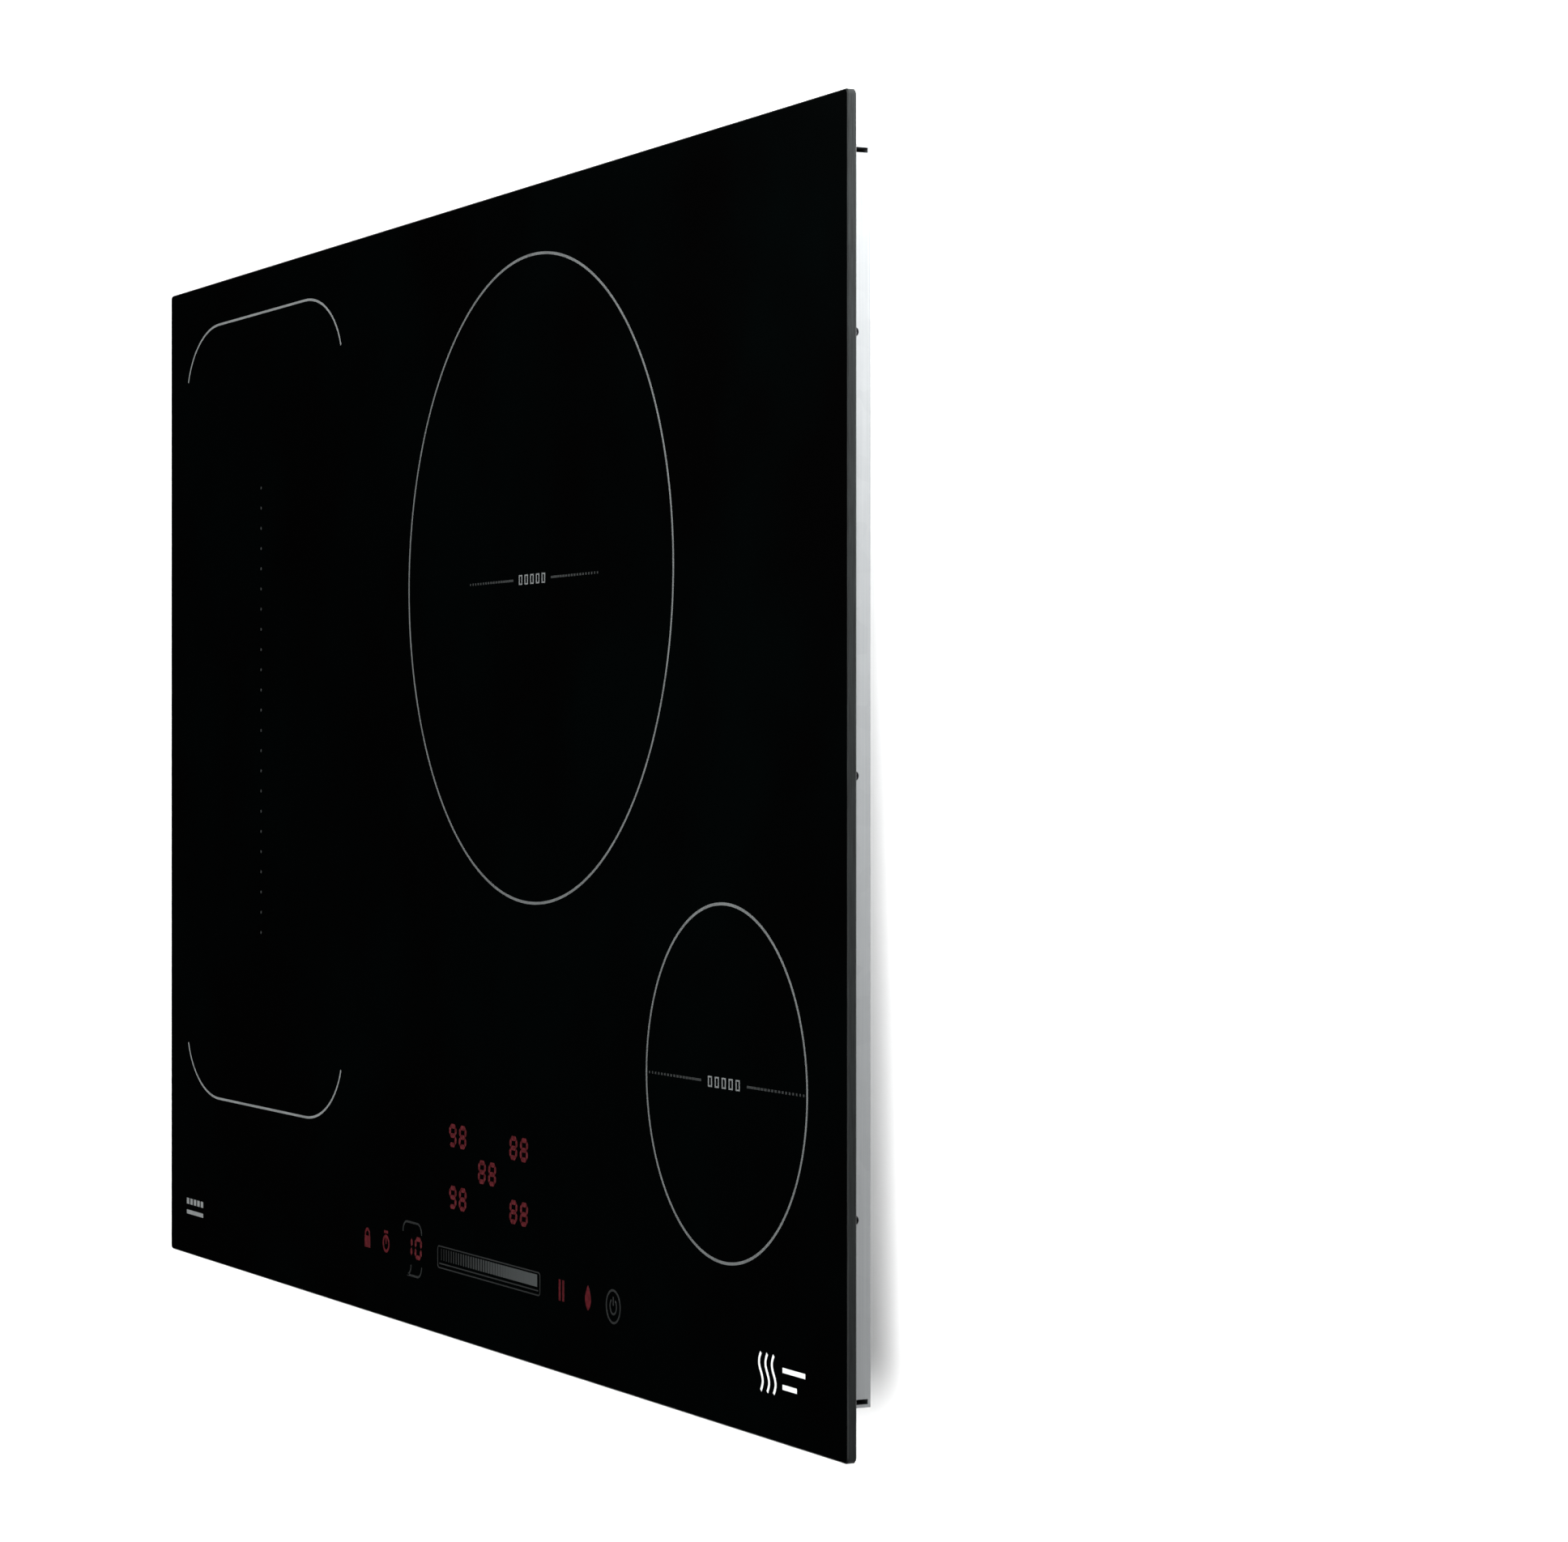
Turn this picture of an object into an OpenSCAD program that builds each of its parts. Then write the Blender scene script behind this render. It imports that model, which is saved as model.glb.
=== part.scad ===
// Built-in electric induction cooktop, lying flat as it is used: glass on top, feet of the base at z = 0.
// X runs to the user's right, Y to the rear edge, Z up. All lengths are millimetres.

/* [Glass] */
// Width of the glass panel, left to right
glass_w = 780; // [740:1:960]
// Depth of the glass panel, front to rear
glass_d = 520; // [510:1:640]
// Thickness of the glass
glass_t = 4; // [3:0.5:6]
// Radius of the glass corners in plan
glass_corner_r = 2.5; // [1:0.5:10]

/* [Worktop seal] */
// Thickness of the foam strip under the glass
seal_t = 1; // [0.5:0.1:3]
// Width of the foam strip
seal_w = 9.5; // [6:0.5:12]
// Distance from the glass edge to the strip
seal_inset = 10; // [6:0.5:14]

/* [Metal tray] */
// Distance from the glass edge to the outside of the tray
tray_inset = 18; // [15:0.5:20]
// Thickness of the tray's sheet
tray_sheet = 1.2; // [0.8:0.1:1.6]
// Height of the upturned flanges
flange_h = 11.2; // [10:0.1:14]
// Gap between the top of the flanges and the glass
glass_gap = 4.4; // [3.6:0.1:6]
// Open slot between a side flange and the front or rear flange
corner_slot = 2; // [1:0.1:4]
// Rounding of the side flanges' upper corners
flange_corner_r = 4.3; // [1:0.1:5]
// Height of the small tabs on the side flanges
tab_h = 0.7; // [0.3:0.1:1.5]
// Diameter of the holes for the worktop clamps in the front and rear flanges
clamp_hole_d = 4.2; // [3:0.1:4.6]
// Distance between the two clamp holes of one flange
clamp_hole_pitch = 560; // [500:1:600]

/* [Side rails] */
// Length of the rails that join the tray to the glass
rail_l = 360; // [350:1:400]
// Thickness of a rail's web
rail_web_t = 2.4; // [1.8:0.1:3]
// Width of the glued foot under the glass
rail_foot_w = 13; // [8:0.5:16]
// Thickness of the glued foot
rail_foot_t = 1.5; // [1:0.1:2.5]
// Distance between the rail screws
rail_screw_pitch = 170; // [120:1:172]
// Depth of the rail screws below the top of the flange
rail_screw_drop = 3.8; // [3:0.1:5]
// Thread diameter of the rail screws
rail_screw_d = 3; // [2.5:0.1:3.6]
// Head diameter of the rail screws
rail_head_d = 4; // [3.8:0.1:5]

/* [Base housing] */
// Width of the plastic housing
base_w = 550; // [450:1:664]
// Depth of the plastic housing, front to rear
base_d = 433.6; // [425:0.1:450]
// Height of the housing's walls and floor
base_h = 35.2; // [34:0.1:44]
// Distance from the rear edge of the glass to the housing
base_rear_inset = 55.6; // [40:0.1:60]
// Wall thickness of the housing
base_wall = 2.5; // [2:0.1:3.2]
// Floor thickness of the housing
base_floor = 2; // [1.5:0.1:3]
// Gap between the housing's rim and the tray
base_gap = 0.5; // [0.3:0.1:1]
// Height of the feet and of the fan grilles under the floor
foot_h = 1.7; // [1.2:0.1:3]
// Depth of the shallow vertical bands in the side walls
band_depth = 0.4; // [0.2:0.1:0.8]
// Depth of the narrow grooves along the edges of the bands
groove_depth = 1.4; // [0.8:0.1:1.6]
// Width of the narrow grooves
groove_w = 0.9; // [0.5:0.1:1.5]
// Width of the shallow bands
band_w = 19.3; // [12:0.1:24]
// Width of the thin ribs between the bands
rib_w = 10; // [6:0.1:14]
// Width of the mains inlet
inlet_w = 22; // [18:0.5:26]
// Height of the mains inlet above the floor's underside
inlet_h = 27; // [22:0.5:28]
// Distance from the front wall to the middle of the mains inlet
inlet_from_front = 27; // [25:0.5:34]
// Thread diameter of the housing screws
base_screw_d = 4; // [3:0.1:5]

/* [Cooking zones] */
// Outer radius of the large coil
big_coil_r = 128; // [100:1:130]
// Outer radius of the small coil
small_coil_r = 62; // [52:1:66]
// Outer radius of the two coils of the flexible zone
flex_coil_r = 90; // [74:1:92]
// Thickness of a winding
winding_t = 4.2; // [3:0.1:4.6]
// Distance between two turns of a winding
turn_pitch = 4; // [3.5:0.1:6]
// Radius of the free middle of a coil
coil_eye_r = 18; // [14:1:24]
// Thickness of the coil carriers
carrier_t = 1.5; // [1.2:0.1:2]
// Thickness of the ferrite bars
ferrite_t = 3; // [2:0.1:3.4]
// Width of the ferrite bars
ferrite_w = 10; // [8:0.5:12]
// Thickness of the mica discs
mica_t = 0.6; // [0.4:0.1:1]
// Gap between the mica discs and the glass
mica_gap = 0.4; // [0.3:0.1:0.8]
// How far a coil can be pushed down on its springs
coil_travel = 3; // [2:0.1:3]
// Diameter of the guide pins under the carrier arms
pin_d = 4; // [3:0.1:5]
// Radial clearance of the guide pins in the tray
pin_clearance = 0.3; // [0.2:0.05:0.5]
// Thickness of the coil leads
lead_d = 3.2; // [2.5:0.1:4]

/* [Cooling fans] */
// Radius of the fan wheels
fan_r = 38; // [32:1:46]
// Clearance between a fan wheel and its casing
fan_clearance = 10; // [5:0.5:12]
// Number of blades on a fan wheel
fan_blades = 24; // [12:1:30]
// Diameter of the fan shafts
shaft_d = 3; // [2:0.1:4]
// Radial running clearance of a shaft in its bearing
shaft_clearance = 0.05; // [0.02:0.01:0.08]
// Distance from the housing's middle to each fan
fan_x = 110; // [100:1:112]
// Distance from the front of the housing to the fans
fan_from_front = 137.2; // [120:0.1:145]

/* [Electronics] */
// Thickness of the circuit boards
board_t = 1.6; // [1:0.1:2]
// Height of the posts under the boards
post_h = 6; // [4:0.1:8]
// Width of a heat sink
sink_w = 52; // [40:1:56]
// Length of a heat sink
sink_l = 144; // [120:1:150]
// Height of a heat sink
sink_h = 21; // [15:0.5:21]
// Thickness of the heat-sink fins
fin_t = 1.4; // [1:0.1:2]

/* [Controls] */
// Width of the control module
ui_w = 306; // [296:1:320]
// Depth of the control module
ui_d = 80; // [78:1:84]
// Width of a two-digit display
display_w = 23.5; // [20:0.1:25]
// Depth of a two-digit display
display_d = 11.2; // [10:0.1:12]

/* [Hidden] */
$fn = 64;
eps = 0.01;

// Levels, from the feet up
base_z = foot_h;
base_floor_z = base_z + base_floor;
base_top_z = base_z + base_h;
tray_z = base_top_z + base_gap;
tray_floor_z = tray_z + tray_sheet;
flange_top_z = tray_z + flange_h;
glass_z = flange_top_z + glass_gap;

// Tray
tray_x = glass_w / 2 - tray_inset;
tray_y = glass_d / 2 - tray_inset;
side_flange_y = tray_y - tray_sheet - corner_slot;
tab_l = 5.2;
// Middle of each small tab on a side flange, from the rear edge of the glass
tabs_from_rear = [67.8, 456, 471.8];

// Rails and their screws
rail_x = tray_x - tray_sheet;
rail_clear = 1.2;
rail_screw_z = flange_top_z - rail_screw_drop;
rail_head_h = 1;
rail_screw_ys = [-rail_screw_pitch, 0, rail_screw_pitch];

// Housing
base_x = base_w / 2;
base_rear = glass_d / 2 - base_rear_inset;
base_front = base_rear - base_d;
in_x = base_x - base_wall;
in_rear = base_rear - base_wall;
in_front = base_front + base_wall;
lip_w = 4.3;
lip_t = 1.7;
lip_l = 400;
// Middle of each shallow band and thin rib, from the rear wall
bands_from_rear = [9.65, 109, 213.9, 319.3];
ribs_from_rear = [59.1, 161.4, 266.4, 371.2];
rib_proud = 0.6;
window_w = 14.6;
key_from_rear = 358.4;
key_w = 3;
key_l = 15.2;
key_foot = 4;
rib_short = 2.4;
boss_r = 5;
boss_x = in_x - boss_r - 1;
// Distance of each pair of screw bosses from the rear wall
bosses_from_rear = [16, 142, 268, 380];
screw_head_h = 2.4;
// The two rows of feet, from the rear wall
feet_from_rear = [56, 200.8];
foot_r = 6.5;
foot_bar_w = 6.4;
foot_bar_l = 34;
foot_bar_offset = 26.4;
foot_x_inset = 58;
front_bar_from_rear = 343.6;
slot_w = 4;
slot_l = 22;
slot_pitch = 8;
slot_count = 14;
grille_r = 57.6;
grille_step = 0.7;
intake_r = 37.7;
intake_ring_w = 3;
intake_ring_pitch = 6.6;
inlet_y = base_front + inlet_from_front;

// Coils: X from the middle of the glass, Y from its rear edge, like the housing below them
flex_x = -248.4;
flex_y = glass_d / 2 - 227.7;
flex_pitch = 2 * flex_coil_r + 25;
rear_y = flex_y + flex_pitch / 2;
front_y = flex_y - flex_pitch / 2;
big_pos = [96, glass_d / 2 - 173.8];
small_pos = [285.3, glass_d / 2 - 383.2];
mica_z = glass_z - mica_gap - mica_t;
winding_z = mica_z - winding_t;
carrier_z = winding_z - carrier_t;
ferrite_z = carrier_z - ferrite_t;
mica_over = 2;
arm_reach = 14;
arm_w = 12;
pin_drop = 3.4;
pin_z = tray_z - pin_drop;
// Room that the housing's rim leaves round a pin and under it
pin_room = 1;
spring_wall = 1;
spring_clear = 0.4;
ferrite_bars = 8;
sensor_r = 5;
lead_gap = 8;
lead_inset = 9;
lead_hole_r = 9;

// Boards and what stands on them
board_z = base_floor_z + post_h;
board_top_z = board_z + board_t;
board_gap = 24;
part_gap = 3;
screw_gap = 0.1;
board_x0 = board_gap / 2;
board_x1 = boss_x - boss_r - 3;
board_rear = in_rear - 8;
board_front = base_front + fan_from_front + 76;
post_r = 4;
post_inset = 7;
screw_d = 3;
filter_w = 76;
filter_x0 = board_x1 - filter_w;
filter_front = inlet_y + 34;
filter_rear = board_front - 22;
chip_w = 16;
chip_t = 5;
chip_h = 18;
chip_pitch = 24;
chips_per_sink = 4;
cap_w = 18;
cap_gap = 3;
cap_h = 17;
cap_pitch = 24;
cap_count = 4;
cap_x = board_x1 - cap_w - 12;
cap_rear = board_rear - 20;
cap_front = cap_rear - cap_count * cap_pitch;
choke_r = 15;
choke_h = 16;
terminal_h = 9;
terminal_w = 12;

// Fans
fan_y = base_front + fan_from_front;
casing_t = 1.5;
casing_r = fan_r + fan_clearance;
casing_z = base_floor_z;
casing_h = 29;
casing_top_z = casing_z + casing_h;
outlet_w = 58;
outlet_end = board_front - 4;
hub_r = 18;
hub_wall = 1.6;
magnet_t = 1.6;
core_gap = 0.7;
core_r = hub_r - hub_wall - magnet_t - core_gap;
core_teeth = 9;
core_slot_w = 3.2;
wheel_z = casing_z + casing_t + 1.4;
wheel_top_z = casing_top_z - casing_t - 3;
blade_t = 1.2;
blade_l = 11;
blade_lean = 35;
bearing_r = 4;
bearing_z = wheel_z + 4;
// The blind top of the bearing, and the shaft's end just below it
bearing_top_z = casing_top_z - casing_t - 1.2;
shaft_top_z = bearing_top_z - 0.4;

// Mains terminals
block_w = 22;
block_l = 44;
block_h = 15;
block_x = board_x1 - 28;
poles = 5;
cover_gap = 3;
cover_t = 1.5;

// Control module
ui_x = 43;
ui_front = tray_y - tray_sheet - 2;
ui_wall = 1.6;
ui_board_z = glass_z - 5;
ui_board_top_z = ui_board_z + board_t;
// Displays: four corners, middle and timer, X from the module's middle, Y from the front edge of the glass
displays = [[-31, 93.5], [38.5, 93.5], [3, 79.6], [-31, 65], [38.5, 65], [-84.4, 37]];
// Touch fields left and right of the slider, and the slider's own row, X from the module's middle
touch_xs = [-143, -119, -101, -69, 84.7, 112.3, 137.8];
slider_from = -47;
slider_to = 54;
slider_pads = 7;
touch_from_front = 36;
pad_r = 4;
ribbon_w = 16;
ribbon_t = 0.8;
ribbon_slot_y = outlet_end - 16;
wire_d = 2.6;
// Elbows of the wires stand a little proud of the straights
elbow = 1.04;

COILS = ["flex_rear", "flex_front", "large", "small"];
COIL_POS = [[flex_x, rear_y], [flex_x, front_y], big_pos, small_pos];
COIL_R = [flex_coil_r, flex_coil_r, big_coil_r, small_coil_r];
COIL_ARM = [20, 80, 90, 60];
COIL_LEAD = [-22.5, 22.5, -22.5, 157.5];
COIL_PARTS = ["mica", "winding", "carrier", "ferrites", "sensor", "springs"];
SIDES = ["left", "right"];

function coil_nodes() = [for (c = COILS) for (p = COIL_PARTS) str("coil_", c, "_", p)];
function side_nodes(names) = [for (s = SIDES) for (n = names) str(n, "_", s)];

// ---- shared shapes ----

module rounded_plate(w, d, h, r) {
    linear_extrude(h) {
        square([w - 2 * r, d], center = true);
        square([w, d - 2 * r], center = true);
        for (sx = [-1, 1], sy = [-1, 1]) translate([sx * (w / 2 - r), sy * (d / 2 - r)]) circle(r);
    }
}

// A box from its lowest corner to its highest one
module block(from, to) {
    translate(from) cube(to - from);
}

module both_sides() {
    children();
    mirror([1, 0, 0]) children();
}

// A round wire through a list of points, with ball corners
module wire(points, d) {
    for (i = [0 : len(points) - 2]) {
        step = points[i + 1] - points[i];
        run = norm(step);
        translate(points[i])
            rotate([0, acos(step[2] / run), atan2(step[1], step[0])])
                cylinder(h = run, d = d, $fn = 24);
    }
    for (i = [1 : 1 : len(points) - 2]) translate(points[i]) sphere(d = d * elbow, $fn = 24);
}

// A round slot across X, standing up
module upright_slot(w, l, depth) {
    block([-w / 2, -eps, -l / 2], [w / 2, depth, l / 2]);
}

module at_coil(i) {
    translate([COIL_POS[i][0], COIL_POS[i][1], 0]) children();
}

module at_arms(i) {
    for (k = [0 : 2])
        rotate([0, 0, COIL_ARM[i] + 120 * k]) translate([COIL_R[i] + arm_reach, 0, 0]) children();
}

// Middle of the two leads of a coil, where they leave its underside
function lead_start(i) =
    COIL_POS[i] + (COIL_R[i] - lead_inset) * [cos(COIL_LEAD[i]), sin(COIL_LEAD[i])];

// Where they pass the tray: right below, but no farther out than their terminals have room on the board
function lead_hole(i) =
    let (at = lead_start(i),
         beside_caps = at[1] > cap_front - terminal_w / 2 && at[1] < cap_rear + terminal_w / 2,
         outer = beside_caps ? cap_x - part_gap : board_x1 - post_inset - screw_d - screw_gap)
    [sign(at[0]) * min(abs(at[0]), outer - terminal_w), at[1]];

module at_leads(i) {
    rotate([0, 0, COIL_LEAD[i]]) translate([COIL_R[i] - lead_inset, 0, 0]) children();
}

module at_fan() {
    translate([fan_x, fan_y, 0]) children();
}

module at_base_screws() {
    for (y = bosses_from_rear) translate([boss_x, base_rear - y, 0]) children();
}

// Posts of one power board and of the mains filter board
module at_power_posts() {
    for (x = [board_x0 + post_inset, board_x1 - post_inset])
        for (y = [board_front + post_inset, board_rear - post_inset])
            translate([x, y, 0]) children();
}

module at_filter_posts() {
    for (x = [filter_x0 + post_inset, board_x1 - post_inset])
        for (y = [filter_front + post_inset, filter_rear - post_inset])
            translate([x, y, 0]) children();
}

// ---- glass, seals and rails ----

module glass_panel() {
    color([0.02, 0.02, 0.02])
        translate([0, 0, glass_z]) rounded_plate(glass_w, glass_d, glass_t, glass_corner_r);
}

module seal(side) {
    edge = glass_d / 2 - seal_inset;
    color([0.2, 0.2, 0.2])
        translate([0, side * (edge - seal_w / 2), glass_z - seal_t])
            rounded_plate(glass_w - 2 * seal_inset, seal_w, seal_t, seal_w / 4);
}

// An angle: the web stands inside the side flange and the foot is glued under the glass
module rail() {
    web_z = tray_floor_z + rail_clear;
    color([0.12, 0.12, 0.13]) difference() {
        union() {
            block([rail_x - rail_web_t, -rail_l / 2, web_z], [rail_x, rail_l / 2, glass_z]);
            block([rail_x - rail_foot_w, -rail_l / 2, glass_z - rail_foot_t],
                  [rail_x, rail_l / 2, glass_z]);
        }
        for (y = rail_screw_ys)
            translate([rail_x - rail_web_t - eps, y, rail_screw_z])
                rotate([0, 90, 0]) cylinder(h = rail_web_t + 2 * eps, d = rail_screw_d);
    }
}

module rail_screws() {
    color([0.08, 0.08, 0.08]) both_sides() for (y = rail_screw_ys)
        translate([tray_x, y, rail_screw_z]) rotate([0, 90, 0]) difference() {
            union() {
                translate([0, 0, -tray_sheet - rail_web_t - 1])
                    cylinder(h = tray_sheet + rail_web_t + 1, d = rail_screw_d);
                cylinder(h = rail_head_h, d = rail_head_d);
            }
            translate([0, 0, rail_head_h / 2]) cylinder(h = rail_head_h, d = rail_head_d / 2.4, $fn = 6);
        }
}

// ---- sheet-metal tray ----

module side_flange() {
    r = flange_corner_r;
    translate([rail_x, 0, 0]) rotate([90, 0, 90]) linear_extrude(tray_sheet) {
        translate([-side_flange_y, tray_z]) square([2 * side_flange_y, flange_h - r]);
        translate([r - side_flange_y, tray_z]) square([2 * (side_flange_y - r), flange_h]);
        for (s = [-1, 1]) translate([s * (side_flange_y - r), flange_top_z - r]) circle(r);
        for (v = tabs_from_rear)
            translate([glass_d / 2 - v - tab_l / 2, flange_top_z - tab_h]) square([tab_l, 2 * tab_h]);
    }
}

module long_flange(side) {
    block([-tray_x, min(side * tray_y, side * (tray_y - tray_sheet)), tray_z],
          [tray_x, max(side * tray_y, side * (tray_y - tray_sheet)), flange_top_z]);
}

module support_tray() {
    through = tray_sheet + 2;
    color([0.82, 0.83, 0.84]) difference() {
        union() {
            block([-tray_x, -tray_y, tray_z], [tray_x, tray_y, tray_floor_z]);
            both_sides() side_flange();
            for (s = [-1, 1]) long_flange(s);
        }
        for (i = [0 : 3]) at_coil(i) {
            at_arms(i) translate([0, 0, tray_z - 1])
                cylinder(h = through, r = pin_d / 2 + pin_clearance);
        }
        for (i = [0 : 3]) translate([lead_hole(i)[0], lead_hole(i)[1], tray_z - 1])
            cylinder(h = through, r = lead_hole_r);
        both_sides() at_base_screws() translate([0, 0, tray_z - 1])
            cylinder(h = through, d = base_screw_d);
        both_sides() for (y = rail_screw_ys)
            translate([rail_x - 1, y, rail_screw_z]) rotate([0, 90, 0])
                cylinder(h = through, d = rail_screw_d);
        for (sx = [-1, 1], sy = [-1, 1])
            translate([sx * clamp_hole_pitch / 2, sy * tray_y, (tray_floor_z + flange_top_z) / 2])
                rotate([90, 0, 0]) translate([0, 0, -through]) cylinder(h = 2 * through, d = clamp_hole_d);
        for (k = [-2 : 2])
            block([k * slot_l * 1.5 - slot_l / 2, base_front + 12, tray_z - 1],
                  [k * slot_l * 1.5 + slot_l / 2, base_front + 12 + slot_w, tray_z + through - 1]);
        block([-ribbon_w / 2 - 2, ribbon_slot_y - 3, tray_z - 1],
              [ribbon_w / 2 + 2, ribbon_slot_y + 3, tray_z + through - 1]);
    }
}

// ---- plastic base housing ----

module base_shell() {
    difference() {
        block([-base_x, base_front, base_z], [base_x, base_rear, base_top_z]);
        block([-in_x, in_front, base_floor_z], [in_x, in_rear, base_top_z + 1]);
    }
}

module side_bands() {
    for (v = bands_from_rear) {
        block([base_x - band_depth, base_rear - v - band_w / 2, base_z - 1],
              [base_x + 1, base_rear - v + band_w / 2, base_top_z + 1]);
        for (s = [-1, 1]) translate([0, base_rear - v + s * band_w / 2, 0])
            block([base_x - groove_depth, -groove_w / 2, base_z - 1],
                  [base_x + 1, groove_w / 2, base_top_z + 1]);
    }
    // catch window at the rim, and the L-shaped key slot near the front
    block([in_x - 1, base_rear - bands_from_rear[1] - window_w / 2, base_top_z - 4.5],
          [base_x + 1, base_rear - bands_from_rear[1] + window_w / 2, base_top_z - 2]);
    block([base_x - groove_depth, base_rear - key_from_rear, base_top_z - key_l],
          [base_x + 1, base_rear - key_from_rear + key_w, base_top_z + 1]);
    block([base_x - groove_depth, base_rear - key_from_rear - key_foot, base_top_z - key_l],
          [base_x + 1, base_rear - key_from_rear + key_w, base_top_z - key_l + key_w]);
}

module side_ribs() {
    for (v = ribs_from_rear)
        block([base_x - 1, base_rear - v - rib_w / 2, base_z],
              [base_x + rib_proud, base_rear - v + rib_w / 2, base_top_z - rib_short]);
}

module feet() {
    for (v = feet_from_rear) translate([base_x - foot_x_inset, base_rear - v, 0]) {
        cylinder(h = base_z + eps, r = foot_r);
        for (s = [-1, 1])
            translate([0, s * foot_bar_offset, 0])
                block([-foot_bar_l / 2, -foot_bar_w / 2, 0],
                      [foot_bar_l / 2, foot_bar_w / 2, base_z + eps]);
    }
    translate([base_x - foot_x_inset, base_rear - front_bar_from_rear, 0])
        block([-foot_bar_l / 2, -foot_bar_w / 2, 0], [foot_bar_l / 2, foot_bar_w / 2, base_z + eps]);
}

// Two steps round the intake, and the concentric rings that guard it
module grille_steps() {
    translate([0, 0, grille_step]) cylinder(h = base_z - grille_step + eps, r = grille_r);
    cylinder(h = base_z + eps, r = intake_r);
}

module grille_cut() {
    count = floor((intake_r - 6) / intake_ring_pitch);
    difference() {
        for (k = [0 : count - 1]) translate([0, 0, -1]) difference() {
            cylinder(h = base_floor_z + 2, r = 8 + k * intake_ring_pitch + intake_ring_w);
            translate([0, 0, -1]) cylinder(h = base_floor_z + 4, r = 8 + k * intake_ring_pitch);
        }
        for (a = [0 : 60 : 120]) rotate([0, 0, a]) translate([-intake_r, -1.5, -3])
            cube([2 * intake_r, 3, base_floor_z + 6]);
    }
}

module wall_slots() {
    slots_x = (slot_count - 1) * slot_pitch / 2;
    for (k = [0 : slot_count - 1])
        translate([fan_x - slots_x + k * slot_pitch, 0, (base_floor_z + base_top_z) / 2]) {
            translate([0, base_front - 1, 0]) upright_slot(slot_w, slot_l, base_wall + 2);
            translate([0, in_rear - 1, 0]) upright_slot(slot_w, slot_l, base_wall + 2);
        }
}

module inlet_cut() {
    r = inlet_w / 2;
    translate([in_x - 1, inlet_y, 0]) {
        block([0, -r, base_floor_z], [base_wall + 3, r, base_z + inlet_h - r]);
        translate([0, 0, base_z + inlet_h - r]) rotate([0, 90, 0]) cylinder(h = base_wall + 3, r = r);
    }
}

module base_housing() {
    screw_space = screw_head_h + 1;
    color([0.07, 0.07, 0.075]) difference() {
        union() {
            base_shell();
            both_sides() {
                side_ribs();
                feet();
                at_base_screws() translate([0, 0, base_z]) cylinder(h = tray_z - base_z, r = boss_r);
                at_power_posts() translate([0, 0, base_z]) cylinder(h = board_z - base_z, r = post_r);
                at_fan() grille_steps();
            }
            at_filter_posts() translate([0, 0, base_z]) cylinder(h = board_z - base_z, r = post_r);
            block([-lip_l / 2, base_rear - 1, base_top_z - lip_t],
                  [lip_l / 2, base_rear + lip_w, base_top_z]);
        }
        both_sides() {
            side_bands();
            wall_slots();
            at_base_screws() {
                translate([0, 0, base_z - 1]) cylinder(h = base_h + 4, d = base_screw_d);
                translate([0, 0, base_z - 1]) cylinder(h = screw_space + 1, r = boss_r - 1);
            }
            at_power_posts() translate([0, 0, base_floor_z]) cylinder(h = post_h + 1, d = screw_d);
            at_fan() grille_cut();
        }
        at_filter_posts() translate([0, 0, base_floor_z]) cylinder(h = post_h + 1, d = screw_d);
        inlet_cut();
        for (i = [0 : 3]) at_coil(i) at_arms(i) translate([0, 0, pin_z - coil_travel - pin_room])
            cylinder(h = base_h, r = pin_d / 2 + pin_room);
    }
}

module base_screws() {
    head_z = base_z + 1;
    color([0.55, 0.55, 0.57]) both_sides() at_base_screws() difference() {
        union() {
            translate([0, 0, head_z]) cylinder(h = screw_head_h, r = boss_r - 1.3);
            translate([0, 0, head_z + eps]) cylinder(h = tray_floor_z + 0.8 - head_z, d = base_screw_d);
        }
        translate([0, 0, head_z - 1]) cylinder(h = screw_head_h, d = base_screw_d * 0.8, $fn = 6);
    }
}

// ---- induction coils ----

module coil_mica(i) {
    color([0.78, 0.72, 0.55]) at_coil(i) translate([0, 0, mica_z])
        cylinder(h = mica_t, r = COIL_R[i] + mica_over);
}

// Flat spiral of litz wire, drawn as one ring with a groove between two turns
module coil_winding(i) {
    turns = floor((COIL_R[i] - coil_eye_r) / turn_pitch);
    groove = winding_t / 4;
    tops = [for (k = [0 : turns - 1]) for (p = [[0, 0], [turn_pitch / 2, groove]])
        [coil_eye_r + k * turn_pitch + p[0], winding_t - groove + p[1]]];
    color([0.72, 0.4, 0.22]) at_coil(i) translate([0, 0, winding_z]) rotate_extrude()
        polygon(concat([[coil_eye_r, 0]], tops, [[coil_eye_r + turns * turn_pitch, 0]]));
}

module carrier_arm(i) {
    from = COIL_R[i] * 0.6;
    to = COIL_R[i] + arm_reach;
    block([from, -arm_w / 2, carrier_z], [to, arm_w / 2, winding_z]);
    translate([to, 0, carrier_z]) cylinder(h = carrier_t, d = arm_w);
    translate([to, 0, pin_z]) cylinder(h = carrier_z + eps - pin_z, d = pin_d);
}

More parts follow.
